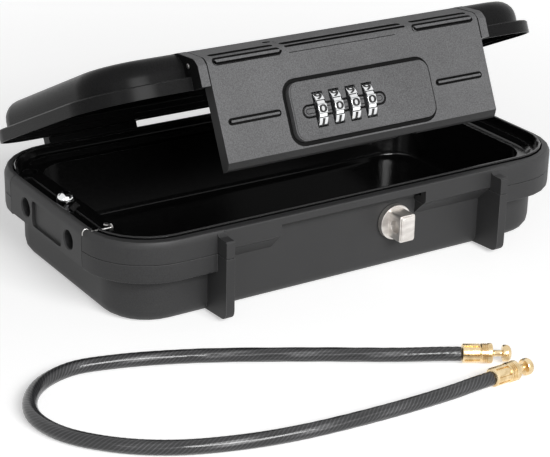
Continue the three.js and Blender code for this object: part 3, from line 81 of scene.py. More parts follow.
camera_data = bpy.data.cameras.new("camera")
camera_data.lens = CAMERA_LENS
camera_data.sensor_width = 36
camera = bpy.data.objects.new("camera", camera_data)
bpy.context.scene.collection.objects.link(camera)
camera.matrix_world = (
    Matrix.Translation(CAMERA_PLACE)
    @ Matrix.Rotation(math.radians(CAMERA_TURN), 4, "Z")
    @ Matrix.Rotation(math.radians(90 - CAMERA_DOWN), 4, "X")
    @ Matrix.Rotation(math.radians(CAMERA_ROLL), 4, "Z")
)
bpy.context.scene.camera = camera
bpy.context.scene.view_settings.view_transform = "Standard"
print("camera looks along", [round(v, 3) for v in -camera.matrix_world.col[2].xyz])

# %% [markdown]
# ## Small tools for nodes
# A material here is a handful of nodes that read the piece's own coordinates. One
# helper makes a node and sets its inputs, another makes a blank material and hands back
# its shader. What is the same all over a piece is typed on the shader's own inputs.


# %% Node helpers
def set_inputs(node, values):
    for key, value in values.items():
        node.inputs[key].default_value = value


def new_node(tree, kind, inputs=None, **settings):
    node = tree.nodes.new(kind)
    for key, value in settings.items():
        setattr(node, key, value)
    set_inputs(node, inputs or {})
    return node


def blank_material(name, **inputs):
    material = bpy.data.materials.new(name)
    material.use_nodes = True
    tree = material.node_tree
    shader = tree.nodes["Principled BSDF"]
    set_inputs(shader, {key.replace("_", " "): value for key, value in inputs.items()})
    return material, tree, shader


def object_point(tree):
    return tree.nodes.new("ShaderNodeTexCoord").outputs["Object"]


def noise(tree, point, scale, detail=2.0, roughness=0.5):
    node = new_node(
        tree,
        "ShaderNodeTexNoise",
        {"Scale": scale, "Detail": detail, "Roughness": roughness},
    )
    tree.links.new(point, node.inputs["Vector"])
    return node.outputs["Fac"]


def ramp(tree, factor, stops):
    node = tree.nodes.new("ShaderNodeValToRGB")
    elements = node.color_ramp.elements
    while len(elements) < len(stops):
        elements.new(0.5)
    for element, (place, shade) in zip(elements, stops):
        element.position = place
        element.color = (*shade, 1) if isinstance(shade, tuple) else (shade,) * 3 + (1,)
    tree.links.new(factor, node.inputs["Fac"])
    return node.outputs["Color"]


def spread(tree, factor, low, high):
    """A 0 to 1 factor stretched to run from low to high."""
    node = new_node(
        tree,
        "ShaderNodeMapRange",
        {"From Min": 0.3, "From Max": 0.7, "To Min": low, "To Max": high},
    )
    tree.links.new(factor, node.inputs["Value"])
    return node.outputs["Result"]


def bump(tree, shader, height, strength, distance, under=None):
    node = new_node(
        tree, "ShaderNodeBump", {"Strength": strength, "Distance": distance}
    )
    tree.links.new(height, node.inputs["Height"])
    if under is not None:
        tree.links.new(under, node.inputs["Normal"])
    tree.links.new(node.outputs["Normal"], shader.inputs["Normal"])
    return node.outputs["Normal"]


# %% [markdown]
# ## The cable's coat
# The real cable is a steel rope in a clear black vinyl tube. Thin wires run round it in a
# steep spiral, and the tube over them is smooth and glossy. The spiral follows the cable
# through its UV map, where U runs once round and V counts along it, and the clear coat
# gives the smooth outer skin over the dull wires.


# %% Material of the cable
def stranded_vinyl(name):
    material, tree, shader = blank_material(
        name, Roughness=0.4, Metallic=0.2, Coat_Weight=0.6, Coat_Roughness=0.1
    )
    uv = tree.nodes.new("ShaderNodeTexCoord").outputs["UV"]
    split = tree.nodes.new("ShaderNodeSeparateXYZ")
    tree.links.new(uv, split.inputs["Vector"])

    def spiral(turns_round, turns_along):
        """A wave of 0 to 1 whose crests run round the cable as they run along it."""
        around = new_node(
            tree, "ShaderNodeMath", {1: turns_round * 2 * math.pi}, operation="MULTIPLY"
        )
        along = new_node(
            tree, "ShaderNodeMath", {1: turns_along * 2 * math.pi}, operation="MULTIPLY"
        )
        both = new_node(tree, "ShaderNodeMath", operation="ADD")
        wave = new_node(tree, "ShaderNodeMath", operation="SINE")
        tree.links.new(split.outputs["X"], around.inputs[0])
        tree.links.new(split.outputs["Y"], along.inputs[0])
        tree.links.new(around.outputs[0], both.inputs[0])
        tree.links.new(along.outputs[0], both.inputs[1])
        tree.links.new(both.outputs[0], wave.inputs[0])
        level = new_node(
            tree,
            "ShaderNodeMapRange",
            {"From Min": -1.0, "From Max": 1.0, "To Min": 0.0, "To Max": 1.0},
        )
        tree.links.new(wave.outputs[0], level.inputs["Value"])
        return level.outputs["Result"]

    wires = spiral(10, 5.4)
    strands = spiral(7, 0.31)
    shade = ramp(
        tree,
        wires,
        [(0.0, (0.002, 0.002, 0.003)), (0.6, (0.006, 0.006, 0.007)), (1.0, (0.06, 0.06, 0.064))],
    )
    patches = ramp(tree, noise(tree, uv, 0.5, 3), [(0.3, 0.45), (0.7, 1.0)])
    mixed = new_node(tree, "ShaderNodeMix", data_type="RGBA", blend_type="MULTIPLY")
    mixed.inputs["Factor"].default_value = 1.0
    tree.links.new(shade, mixed.inputs[6])
    tree.links.new(patches, mixed.inputs[7])
    tree.links.new(mixed.outputs[2], shader.inputs["Base Color"])
    bump(tree, shader, strands, 0.5, 0.0004)
    return material


VINYL = stranded_vinyl("stranded_vinyl")

# %% [markdown]
# ## The brass of the fittings
# Machined brass is bright and warm, with faint rings left by the tool and small stains.
# Two noises do it: a broad one shifts the colour a little, a fine one the gloss.


# %% Materials of the metals
def worked_metal(name, dark, light, rough_low, rough_high, grain, stretch=(1, 1, 1)):
    material, tree, shader = blank_material(name, Metallic=1.0)
    mapping = new_node(tree, "ShaderNodeMapping", {"Scale": stretch})
    tree.links.new(object_point(tree), mapping.inputs["Vector"])
    point = mapping.outputs["Vector"]
    shade = ramp(tree, noise(tree, point, grain * 0.12, 3), [(0.35, dark), (0.65, light)])
    tree.links.new(shade, shader.inputs["Base Color"])
    fine = noise(tree, point, grain, 4)
    tree.links.new(spread(tree, fine, rough_low, rough_high), shader.inputs["Roughness"])
    bump(tree, shader, fine, 0.12, 0.00006)
    return material


BRASS = worked_metal("machined_brass", (0.66, 0.48, 0.25), (0.88, 0.71, 0.44), 0.14, 0.3, 2600)
CHROME = worked_metal("chrome", (0.78, 0.79, 0.8), (0.88, 0.89, 0.9), 0.05, 0.14, 1500)
STEEL = worked_metal(
    "brushed_steel", (0.42, 0.41, 0.4), (0.62, 0.61, 0.6), 0.22, 0.4, 1400, (1, 1, 9)
)
NICKEL = worked_metal(
    "satin_nickel", (0.62, 0.59, 0.56), (0.76, 0.73, 0.7), 0.42, 0.56, 1600, (1, 1, 3)
)
ZINC = worked_metal("cast_zinc", (0.25, 0.25, 0.26), (0.4, 0.4, 0.41), 0.38, 0.6, 1800)

# %% [markdown]
# ## The cable's line
# The cable is 390 mm long from fitting to fitting and 5.8 mm thick. It lies on the table in
# one loose loop. Its line is given by the same points as the solid's, and a centripetal
# spline joins them, because that kind never overshoots where the points are uneven.

# %% Route of the cable
CABLE_RADIUS = 2.9 * MM
ROUTE_MM = [
    (-9.5, -146.4, 3.85), (-16.4, -142.3, 3.8), (-29.5, -134.6, 3.4), (-63.4, -113.4, 2.95),
    (-101.5, -92.6, 2.95), (-130.2, -81.4, 2.95), (-147.6, -78.4, 2.95),
    (-162.5, -83.6, 2.95), (-172, -93.8, 2.95), (-176, -106.6, 2.95),
    (-172.6, -122.4, 2.95), (-160.4, -138.6, 2.95), (-143.4, -151.2, 2.95),
    (-121, -160.2, 2.95), (-97.8, -165.4, 2.95), (-62, -168.6, 2.95),
    (-32, -169.4, 3.3), (-20.4, -169.3, 3.8), (-12.4, -169.1, 3.85),
]
STEPS_PER_SPAN = 16


def spline_through(points, steps):
    """Points of a centripetal Catmull-Rom spline through the given ones."""
    ends = [points[0] * 2 - points[1], *points, points[-1] * 2 - points[-2]]
    line = []
    for p0, p1, p2, p3 in zip(ends, ends[1:], ends[2:], ends[3:]):
        d0, d1, d2 = (math.sqrt((b - a).length) for a, b in ((p0, p1), (p1, p2), (p2, p3)))
        m1 = ((p1 - p0) / d0 - (p2 - p0) / (d0 + d1) + (p2 - p1) / d1) * d1
        m2 = ((p2 - p1) / d1 - (p3 - p1) / (d1 + d2) + (p3 - p2) / d2) * d1
        for i in range(steps):
            t = i / steps
            line.append(
                p1 * (2 * t**3 - 3 * t**2 + 1)
                + m1 * (t**3 - 2 * t**2 + t)
                + p2 * (3 * t**2 - 2 * t**3)
                + m2 * (t**3 - t**2)
            )
    return [*line, points[-1]]


route = spline_through([Vector(p) * MM for p in ROUTE_MM], STEPS_PER_SPAN)
print("cable line", round(sum((b - a).length for a, b in zip(route, route[1:])), 4), "m")

# %% [markdown]
# ## The cable
# A tube is swept along that line, ring by ring. Each ring is carried on from the one
# before with the least turn, so that the spiral in the material doesn't twist. Seven
# shallow strands swell under the vinyl, and the rings follow their lay.

# %% Sweep the cable
TUBE_SIDES = 42
STRANDS = 7
LAY_LENGTH = 22.5 * MM  # one turn of a strand
STRAND_SWELL = 0.09 * MM


def swept_tube(name, line, radius, sides, swell_by):
    mesh = bpy.data.meshes.new(name)
    rings, lengths = [], [0.0]
    side = Vector((0, 0, 1))
    for i, point in enumerate(line):
        ahead = (line[min(i + 1, len(line) - 1)] - line[max(i - 1, 0)]).normalized()
        side = (side - ahead * side.dot(ahead)).normalized()
        up = ahead.cross(side)
        if i:
            lengths.append(lengths[-1] + (point - line[i - 1]).length)
        ring = []
        for k in range(sides):
            angle = 2 * math.pi * k / sides
            swell = math.cos(STRANDS * angle + 2 * math.pi * lengths[-1] * STRANDS / LAY_LENGTH)
            reach = radius - swell_by * (1 - swell) / 2
            ring.append(point + (side * math.cos(angle) + up * math.sin(angle)) * reach)
        rings.append(ring)
    verts = [v for ring in rings for v in ring]
    faces, coords = [], []
    for i in range(len(line) - 1):
        for k in range(sides):
            near, far = i * sides, (i + 1) * sides
            faces.append((near + k, near + (k + 1) % sides, far + (k + 1) % sides, far + k))
            v0, v1 = lengths[i] / (10 * MM), lengths[i + 1] / (10 * MM)
            u0, u1 = k / sides, (k + 1) / sides
            coords += [(u0, v0), (u1, v0), (u1, v1), (u0, v1)]
    last = (len(line) - 1) * sides
    faces += [tuple(reversed(range(sides))), tuple(range(last, last + sides))]
    coords += [(0, 0)] * (2 * sides)
    mesh.from_pydata(verts, [], faces)
    layer = mesh.uv_layers.new(name="UVMap")
    for loop, uv in zip(layer.data, coords):
        loop.uv = uv
    mesh.shade_smooth()
    piece = bpy.data.objects.new(name, mesh)
    bpy.context.scene.collection.objects.link(piece)
    return piece


cable = swept_tube("cable_tube", route, CABLE_RADIUS, TUBE_SIDES, STRAND_SWELL)
cable.data.materials.append(VINYL)
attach(cable, "cable_set")
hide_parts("cable")
print("cable faces", len(cable.data.polygons))

# %% [markdown]
# ## Tools for modelling
# New pieces start as a primitive and are shaped in edit mode. The first helper
# deselects all, because loading the model leaves its solids selected. The second
# turns a piece as on a lathe: a disc is extruded step by step and resized at each.


# %% Modelling helpers
def clear_selection():
    for other in bpy.context.selected_objects:
        other.select_set(False)


def activate(piece):
    clear_selection()
    piece.select_set(True)
    bpy.context.view_layer.objects.active = piece


def to_edit(piece):
    activate(piece)
    bpy.ops.object.mode_set(mode="EDIT")
    bpy.ops.mesh.select_all(action="SELECT")


def to_object():
    bpy.ops.object.mode_set(mode="OBJECT")


def select_faces(piece, test):
    """In edit mode: selects the faces whose middle and normal pass the test."""
    bpy.ops.mesh.select_all(action="DESELECT")
    bpy.ops.mesh.select_mode(type="FACE")
    bm = bmesh.from_edit_mesh(piece.data)
    count = 0
    for face in bm.faces:
        if test(face.calc_center_median(), face.normal):
            face.select = True
            count += 1
    bm.select_flush_mode()
    bmesh.update_edit_mesh(piece.data)
    return count


def turned(name, profile, sides=48):
    """A lathe-turned piece along +Z from (height, radius) pairs in millimetres."""
    clear_selection()
    start, radius = profile[0]
    bpy.ops.mesh.primitive_circle_add(
        vertices=sides, radius=radius * MM, fill_type="NGON", location=(0, 0, start * MM)
    )
    piece = bpy.context.object
    piece.name = piece.data.name = name
    bpy.ops.object.transform_apply(location=True, rotation=True, scale=True)
    to_edit(piece)
    for (z0, r0), (z1, r1) in zip(profile, profile[1:]):
        bpy.ops.mesh.extrude_region_move(
            TRANSFORM_OT_translate={"value": (0, 0, (z1 - z0) * MM)}
        )
        bpy.ops.transform.resize(
            value=(r1 / r0, r1 / r0, 1), center_override=(0, 0, z1 * MM)
        )
    bpy.ops.mesh.select_all(action="SELECT")
    bpy.ops.mesh.normals_make_consistent(inside=False)
    to_object()
    return piece


def smooth(piece, angle=35):
    activate(piece)
    bpy.ops.object.shade_smooth_by_angle(angle=math.radians(angle))


def soften(piece, width, segments=2, angle=28, edge_slot=-1):
    """A bevel along the sharp edges, with the flat faces kept flat in shading."""
    activate(piece)
    bevel = piece.modifiers.new("soft edges", "BEVEL")
    bevel.width = width * MM
    bevel.segments = segments
    bevel.limit_method = "ANGLE"
    bevel.angle_limit = math.radians(angle)
    bevel.material = edge_slot
    bpy.ops.object.modifier_apply(modifier=bevel.name)
    smooth(piece)
    weights = piece.modifiers.new("flat faces", "WEIGHTED_NORMAL")
    weights.keep_sharp = True
    bpy.ops.object.modifier_apply(modifier=weights.name)


def combine(piece, other, operation):
    """Joins or cuts one piece with another, which is used up."""
    activate(piece)
    mix = piece.modifiers.new("combine", "BOOLEAN")
    mix.operation = operation
    mix.solver = "EXACT"
    mix.material_mode = "TRANSFER"
    mix.object = other
    bpy.ops.object.modifier_apply(modifier=mix.name)
    bpy.data.objects.remove(other)


def paint(piece, *materials):
    """Gives a piece its materials, the first of them on every face."""
    piece.data.materials.clear()
    for material in materials:
        piece.data.materials.append(material)
    for face in piece.data.polygons:
        face.material_index = 0
    return piece


def finish_piece(piece, body, slot, *replaced):
    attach(piece, body)
    if replaced:
        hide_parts(*replaced)
    return piece


# %% [markdown]
# ## The brass fittings
# Each end of the cable has a crimped ferrule and a headed tip that the safe's ports catch.
# The ferrule is turned with fine rings near its end. Its first stretch is fluted by the
# crimping tool: eight narrow strips are pushed in with the inset tool, which keeps their
# edges crisp. The tip is a thin neck with a mushroom head.

# %% Model the fittings
FITTING_HEIGHT = 4.15 * MM
GAP = 0.3
FERRULE_END = GAP + 12.2
RING_GROOVES = (8.2, 9.0, 9.8)
FLUTE_LOW, FLUTE_HIGH = 1.5, 7
FLUTE_TURN, FLUTE_HALF = 45, 5  # degrees from one strip to the next, and half a strip
FLUTE_EDGE, FLUTE_DEEP = 0.12, 0.5


def ferrule_profile():
    steps = [(GAP, 3.1), (GAP + 0.35, 3.75), (GAP + 0.9, 3.8), (7.2, 3.8), (7.7, 3.55), (8.1, 4.0)]
    for z in RING_GROOVES:
        steps += [(z, 4.0), (z + 0.15, 3.72), (z + 0.4, 3.72), (z + 0.55, 4.0)]
    return [*steps, (FERRULE_END - 0.5, 4.08), (FERRULE_END - 0.12, 3.85), (FERRULE_END, 3.3)]


def head_profile():
    start = FERRULE_END + GAP
    return [
        (start, 1.1), (start + 0.3, 1.3), (start + 3.5, 1.3), (start + 3.6, 2.6),
        (start + 3.8, 3.2), (start + 4.2, 3.4), (start + 5.7, 3.4), (start + 6.5, 3.0),
        (start + 7.1, 2.1), (start + 7.4, 0.8),
    ]


def flute(piece):
    """Pushes in narrow strips along the ferrule's first stretch."""
    to_edit(piece)

    def on_strip(middle, normal):
        angle = math.degrees(math.atan2(middle.y, middle.x)) % FLUTE_TURN
        in_strip = abs(angle - FLUTE_TURN / 2) < FLUTE_HALF and abs(normal.z) < 0.2
        return in_strip and FLUTE_LOW * MM < middle.z < FLUTE_HIGH * MM

    select_faces(piece, on_strip)
    bpy.ops.mesh.inset(thickness=FLUTE_EDGE * MM, depth=-FLUTE_DEEP * MM)
    to_object()


def lay_fitting(piece, end, before):
    """Lays a piece that was made along +Z at the cable's end, pointing away from it."""
    turn = math.atan2(end.y - before.y, end.x - before.x)
    piece.data.transform(
        Matrix.Translation((end.x, end.y, FITTING_HEIGHT))
        @ Matrix.Rotation(turn, 4, "Z")
        @ Matrix.Rotation(math.radians(90), 4, "Y")
    )


cable_ends = {
    "cable_first": (Vector(ROUTE_MM[0]) * MM, Vector(ROUTE_MM[1]) * MM),
    "cable_second": (Vector(ROUTE_MM[-1]) * MM, Vector(ROUTE_MM[-2]) * MM),
}
for name, (end, before) in cable_ends.items():
    ferrule = turned(name + "_crimp", ferrule_profile(), 48)
    flute(ferrule)
    smooth(ferrule)
    tip = turned(name + "_tip", head_profile(), 48)
    smooth(tip)
    for piece, node in ((ferrule, name + "_ferrule"), (tip, name + "_head")):
        lay_fitting(piece, end, before)
        finish_piece(paint(piece, BRASS), "cable_set", "brass", node)

# %% [markdown]
# ## The plastics
# The case and flap are moulded in black plastic with a fine spark-eroded grain, which
# scatters light and looks grey. The flap's ends and back have a finer grain and are
# painted much darker as painted shade, the lid's dome is smoother still, and the liner is
# polished. A near-black plastic is painted shade in grooves, gaps and the wheels' cells.
# Each is one recipe: a mottled colour, a gloss that varies with the grain, and bumps.
# Edges get a paler, glossier version: partly wear, as hands rub the grain away there
# first, and partly a painted highlight. On the polished liner it is a painted highlight.


# %% Materials of the plastics
def moulded_plastic(name, tone, rough, grain_scale, grain_depth, mottle=0.25, shine=0.5, ior=1.5):
    material, tree, shader = blank_material(name, IOR=ior, Specular_IOR_Level=shine)
    point = object_point(tree)
    broad = noise(tree, point, 38, 3)
    speck = noise(tree, point, grain_scale, 2, 0.6)
    dark = tuple(v * (1 - mottle) for v in tone)
    light = tuple(v * (1 + mottle) for v in tone)
    body = ramp(tree, speck, [(0.35, dark), (0.65, light)])
    cloud = ramp(tree, broad, [(0.3, 0.86), (0.7, 1.0)])
    mixed = new_node(tree, "ShaderNodeMix", data_type="RGBA", blend_type="MULTIPLY")
    mixed.inputs["Factor"].default_value = 1.0
    tree.links.new(body, mixed.inputs[6])
    tree.links.new(cloud, mixed.inputs[7])
    tree.links.new(mixed.outputs[2], shader.inputs["Base Color"])
    tree.links.new(spread(tree, speck, rough - 0.06, rough + 0.06), shader.inputs["Roughness"])
    bump(tree, shader, speck, 0.35, grain_depth)
    return material


def grey(level):
    return (level, level, level * 1.02)


CASE_BLACK = moulded_plastic("grained_case_black", grey(0.031), 0.52, 2600, 0.00008, ior=1.4)
# The paler edge plastics are partly wear and partly a painted highlight.
CASE_EDGE_WEAR_HIGHLIGHT = moulded_plastic("worn_case_edge_painted_highlight", grey(0.14), 0.4, 2600, 0.00003)
FLAP_BLACK = moulded_plastic("grained_flap_black", grey(0.13), 0.6, 2200, 0.0001, ior=1.2)
# The flap's ends, lower bevel and back have a finer grain and are painted much darker as painted
# shade.
FLAP_SMOOTH_SHADE = moulded_plastic("smooth_flap_painted_shade", grey(0.024), 0.45, 2600, 0.00003, ior=1.3)
FLAP_EDGE_WEAR_HIGHLIGHT = moulded_plastic("worn_flap_edge_painted_highlight", grey(0.15), 0.45, 2200, 0.00003)
PLATE_BLACK = moulded_plastic("grained_plate_black", grey(0.122), 0.6, 2300, 0.00014, 0.32, ior=1.2)
# A near-black plastic that is painted shade in grooves, gaps and the wheels' cells.
SHADE_BLACK = moulded_plastic("painted_shade_black", grey(0.002), 0.6, 3000, 0.00001, shine=0.1)
LID_BLACK = moulded_plastic("satin_lid_black", grey(0.01), 0.3, 3000, 0.00002, shine=1, ior=1.1)
LID_EDGE_WEAR_HIGHLIGHT = moulded_plastic("worn_lid_edge_painted_highlight", grey(0.1), 0.35, 3000, 0.00002)
LINER_BLACK = moulded_plastic("polished_liner_black", grey(0.004), 0.16, 900, 0.00001, shine=0.4)
LINER_EDGE_HIGHLIGHT = moulded_plastic("liner_edge_painted_highlight", grey(0.1), 0.25, 900, 0.00001)

# %% [markdown]
# ## The moulded pieces
# The solids of the case, lid, liner and flap have the right shape but knife-sharp edges.
# Moulded plastic never has those. Each is copied, its loose triangles are merged
# and dissolved back into flat faces, and a small bevel goes along the edges. The
# bevel's own faces take the paler edge plastic, partly wear and partly a painted
# highlight, except in inner corners.


# %% Soften the moulded solids
def cleaned_copy(name, node):
    piece = bpy.data.objects.new(name, NODES[node].data.copy())
    piece.data.name = name
    bpy.context.scene.collection.objects.link(piece)
    to_edit(piece)
    bpy.ops.mesh.remove_doubles(threshold=0.004 * MM)
    bpy.ops.mesh.dissolve_limited(angle_limit=math.radians(0.6))
    to_object()
    return piece


def outer_edges_only(piece, edge_slot):
    """Gives a bevel's faces in inner corners the body's material again."""
    bm = bmesh.new()
    bm.from_mesh(piece.data)
    for face in bm.faces:
        if face.material_index == edge_slot:
            bent = [e for e in face.edges if e.is_manifold and e.calc_face_angle() > 0.1]
            if sum(1 if e.is_convex else -1 for e in bent) < 0:
                face.material_index = 0
    bm.to_mesh(piece.data)
    bm.free()


def moulded(piece, edge_wear_highlight, body, slot, edge, *replaced):
    """Softens a painted piece's edges, and gives them a paler plastic, worn and with a painted
    highlight, if there is one.
    """
    if edge_wear_highlight:
        piece.data.materials.append(edge_wear_highlight)
        edge_slot = len(piece.data.materials) - 1
        soften(piece, edge, edge_slot=edge_slot)
        outer_edges_only(piece, edge_slot)
    else:
        soften(piece, edge)
    finish_piece(piece, body, slot, *replaced)
    print(piece.name, len(piece.data.polygons), "faces")
    return piece


MOULDINGS = [
    ("case_shell", "base_shell", "base", CASE_BLACK, CASE_EDGE_WEAR_HIGHLIGHT, "textured_black", 0.25),
    ("case_rim", "rim_frame", "base", CASE_BLACK, CASE_EDGE_WEAR_HIGHLIGHT, "textured_black", 0.25),
    ("port_plate", "cable_port_block", "base", CASE_BLACK, CASE_EDGE_WEAR_HIGHLIGHT, "textured_black", 0.2),
    ("inner_tray", "liner_tray", "base", LINER_BLACK, LINER_EDGE_HIGHLIGHT, "gloss_black", 0.2),
    ("lid_lining", "lid_liner", "lid", LINER_BLACK, None, "gloss_black", 0.25),
    ("lock_case", "lock_housing", "flap", CASE_BLACK, None, "textured_black", 0.15),
    ("port_slider", "cable_retainer", "retainer", ZINC, None, "zinc", 0.15),
    ("lock_back_cover", "lock_cover", "flap", ZINC, None, "zinc", 0.12),
    ("front_stud", "lock_stud", "base", NICKEL, None, "steel", 0.3),
    ("front_stud_ring", "stud_ring", "base", STEEL, None, "steel", 0.15),
    ("hinge_rod_left", "hinge_pin_1", "base", STEEL, None, "steel", 0.25),
    ("hinge_rod_right", "hinge_pin_2", "base", STEEL, None, "steel", 0.25),
    ("flap_rod_left", "flap_pin_1", "lid", STEEL, None, "steel", 0.2),
    ("flap_rod_right", "flap_pin_2", "lid", STEEL, None, "steel", 0.2),
    ("wheel_shaft", "dial_shaft", "flap", STEEL, None, "steel", 0.15),
    ("wheel_detent", "detent_spring", "flap", STEEL, None, "steel", 0.08),
    ("lock_bolt", "latch_bolt", "latch", ZINC, None, "zinc", 0.2),
    *(
        (f"wheel_cam_{i}", f"number_cam_{i}", f"dial_{i}", ZINC, None, "zinc", 0.12)
        for i in (1, 2, 3, 4)
    ),
]
for name, node, body, plastic, edge_wear_highlight, slot, edge in MOULDINGS:
    piece = paint(cleaned_copy(name, node), plastic)
    moulded(piece, edge_wear_highlight, body, slot, edge, node)

# %% [markdown]
# ## Working on the shut lid
# The lid stands open by 25 degrees, and its flap and lock turn with it. Their details are
# simpler to place square, as if the lid were shut, and are then turned open in one step.

# %% The open lid's turn
HINGE = Vector((0, 67.1, 24.5)) * MM
OPEN_ANGLE = math.radians(25.14)
OPEN_TURN = (
    Matrix.Translation(HINGE) @ Matrix.Rotation(-OPEN_ANGLE, 4, "X") @ Matrix.Translation(-HINGE)
)


def shut_box(node):
    """A node's lowest and highest corners, in millimetres, with the lid shut."""
    back = OPEN_TURN.inverted()
    places = [back @ v.co / MM for v in NODES[node].data.vertices]
    low = Vector([min(p[i] for p in places) for i in range(3)])
    high = Vector([max(p[i] for p in places) for i in range(3)])
    return low, high


print("lock plate, shut:", [tuple(round(c, 2) for c in v) for v in shut_box("lock_faceplate")])

# %% [markdown]
# ## The lid's dome
# The lid is satin black. Where the two fins beside the flap face the front, they take the
# flap's paler grained plastic as a painted highlight. Faces are picked by place and normal.

# %% Paint and soften the dome
FIN_SPAN, FIN_REAR = (68.9, 73.6), -52

dome = paint(cleaned_copy("lid_dome", "lid_shell"), LID_BLACK, FLAP_BLACK)
dome.data.transform(OPEN_TURN.inverted())
# The fins' front faces get the paler plastic as a painted highlight.
for face in dome.data.polygons:
    across, front = abs(face.center.x / MM), face.center.y / MM < FIN_REAR
    if FIN_SPAN[0] < across < FIN_SPAN[1] and front and abs(face.normal.x) < 0.5:
        face.material_index = 1
dome.data.transform(OPEN_TURN)
moulded(dome, LID_EDGE_WEAR_HIGHLIGHT, "lid", "satin_black", 0.25, "lid_shell")

# %% [markdown]
# ## Bars with round ends
# Every rib and groove on the flap is a bar with round ends. It is a disc that is
# pulled apart into a long oval and extruded.


# %% Model a bar
def pill(name, x0, x1, z0, z1, y0, y1, sides=20):
    radius, middle = (z1 - z0) / 2, (x0 + x1) / 2
    clear_selection()
    bpy.ops.mesh.primitive_circle_add(
        vertices=sides,
        radius=radius * MM,
        fill_type="NGON",
        location=(middle * MM, y0 * MM, (z0 + z1) / 2 * MM),
        rotation=(math.radians(90), math.pi / sides, 0),
    )
    piece = bpy.context.object
    piece.name = piece.data.name = name
    bpy.ops.object.transform_apply(location=True, rotation=True, scale=True)
    to_edit(piece)
    bm = bmesh.from_edit_mesh(piece.data)
    pull = ((x1 - x0) / 2 - radius) * MM
    for side in (-1, 1):
        bpy.ops.mesh.select_all(action="DESELECT")
        bpy.ops.mesh.select_mode(type="VERT")
        for vert in bm.verts:
            vert.select = (vert.co.x - middle * MM) * side > 0
        bmesh.update_edit_mesh(piece.data)
        bpy.ops.transform.translate(value=(side * pull, 0, 0))
    bpy.ops.mesh.select_mode(type="FACE")
    bpy.ops.mesh.select_all(action="SELECT")
    bpy.ops.mesh.extrude_region_move(
        TRANSFORM_OT_translate={"value": (0, (y1 - y0) * MM, 0)}
    )
    bpy.ops.mesh.select_all(action="SELECT")
    bpy.ops.mesh.normals_make_consistent(inside=False)
    to_object()
    return piece


# %% [markdown]
# ## The front flap
# The flap is one moulding. Four ribs are set off by a fine groove all round, and its
# shoulder, where the face turns into the sloping top, carries long grooves and one
# raised ridge. They are carved from a copy of the solid with Boolean modifiers, because
# that keeps the flat faces flat. The grooves' walls are painted near-black as painted
# shade. The face and the top have the coarser grain, and the ends, the lower bevel and
# the back the finer one, painted much darker as painted shade.

# %% Carve the flap
FLAP_FRONT = -71.86
SHOULDER = Vector((0, -67.46, 48.4))
SHOULDER_RADIUS = 4.4
SHOULDER_LOW = 48
SLOPE_TILT = 69.5
FACE_RIB = (39.6, 65.0, 23.2, 26.2)  # inner, outer, low, high, with the groove round it
SHOULDER_RIB = (33.5, 66.3, -1.85, 1.85)
SHOULDER_RIB_TILT = 19
GROOVE_WIDE, GROOVE_DEEP = 1.05, 0.7


def ring_cutter(x0, x1, z0, z1, wide, face, deep):
    """A bar without its core: it cuts a groove that runs round the core, and the groove's walls
    take the near-black painted shade.
    """
    ring = pill("ring", x0, x1, z0, z1, face - 1, face + deep)
    core = pill("core", x0 + wide, x1 - wide, z0 + wide, z1 - wide, face - 2, face + 2)
    combine(ring, core, "DIFFERENCE")
    return paint(ring, SHADE_BLACK)


def lean(piece, tilt):
    """Lays a bar on the shoulder's arc, where the surface leans back by tilt degrees."""
    piece.data.transform(
        Matrix.Translation(SHOULDER * MM) @ Matrix.Rotation(math.radians(-tilt), 4, "X")
    )
    return piece


def on_shoulder(name, x0, x1, tilt, half, outside, inside, up=0):
    """A bar along the shoulder, up to half wide each way and shifted up along the slope."""
    face = -SHOULDER_RADIUS
    return lean(pill(name, x0, x1, up - half, up + half, face - outside, face + inside), tilt)


flap = paint(cleaned_copy("front_flap", "flap_plate"), FLAP_BLACK, FLAP_SMOOTH_SHADE)
flap.data.transform(OPEN_TURN.inverted())
# The front faces and the top keep the paler plastic. Every other face is painted darker as painted
# shade.
for face in flap.data.polygons:
    on_top = face.normal.z > 0.1 and face.center.z > SHOULDER_LOW * MM
    face.material_index = 0 if face.normal.y < -0.95 or on_top else 1
ridge = on_shoulder("ridge", -32, 30.5, SLOPE_TILT, 2.0, 0.35, 1.2, up=4.9)
soften(ridge, 0.35, 3)
combine(flap, paint(ridge, FLAP_BLACK), "UNION")
for side in (-1, 1):
    inner, outer, low, high = FACE_RIB
    x0, x1 = sorted((side * inner, side * outer))
    ring = ring_cutter(x0, x1, low, high, GROOVE_WIDE, FLAP_FRONT, GROOVE_DEEP)
    combine(flap, ring, "DIFFERENCE")
    inner, outer, low, high = SHOULDER_RIB
    x0, x1 = sorted((side * inner, side * outer))
    ring = ring_cutter(x0, x1, low, high, GROOVE_WIDE, -SHOULDER_RADIUS, GROOVE_DEEP)
    combine(flap, lean(ring, SHOULDER_RIB_TILT), "DIFFERENCE")
SHOULDER_GROOVES = [  # ends, tilt, half width, depth, shift up the slope
    (-31.5, 30, SLOPE_TILT, 1.6, 0.7, 1), (-31, 30.5, 40, 0.62, 0.6, 0),
    (-30, 24, -1.5, 0.15, 0.2, 0), (-36, -32.3, SLOPE_TILT, 1.1, 0.6, 7),
    (-65.7, -35, SLOPE_TILT, 1.5, 0.6, 1), (35, 65.7, SLOPE_TILT, 1.5, 0.6, 1),
]
# The cut grooves' walls take the near-black painted shade.
for x0, x1, tilt, half, deep, up in SHOULDER_GROOVES:
    groove = paint(on_shoulder("groove", x0, x1, tilt, half, 1.5, deep, up), SHADE_BLACK)
    combine(flap, groove, "DIFFERENCE")
flap.data.transform(OPEN_TURN)
moulded(flap, FLAP_EDGE_WEAR_HIGHLIGHT, "flap", "flap_black", 0.14, "flap_plate")

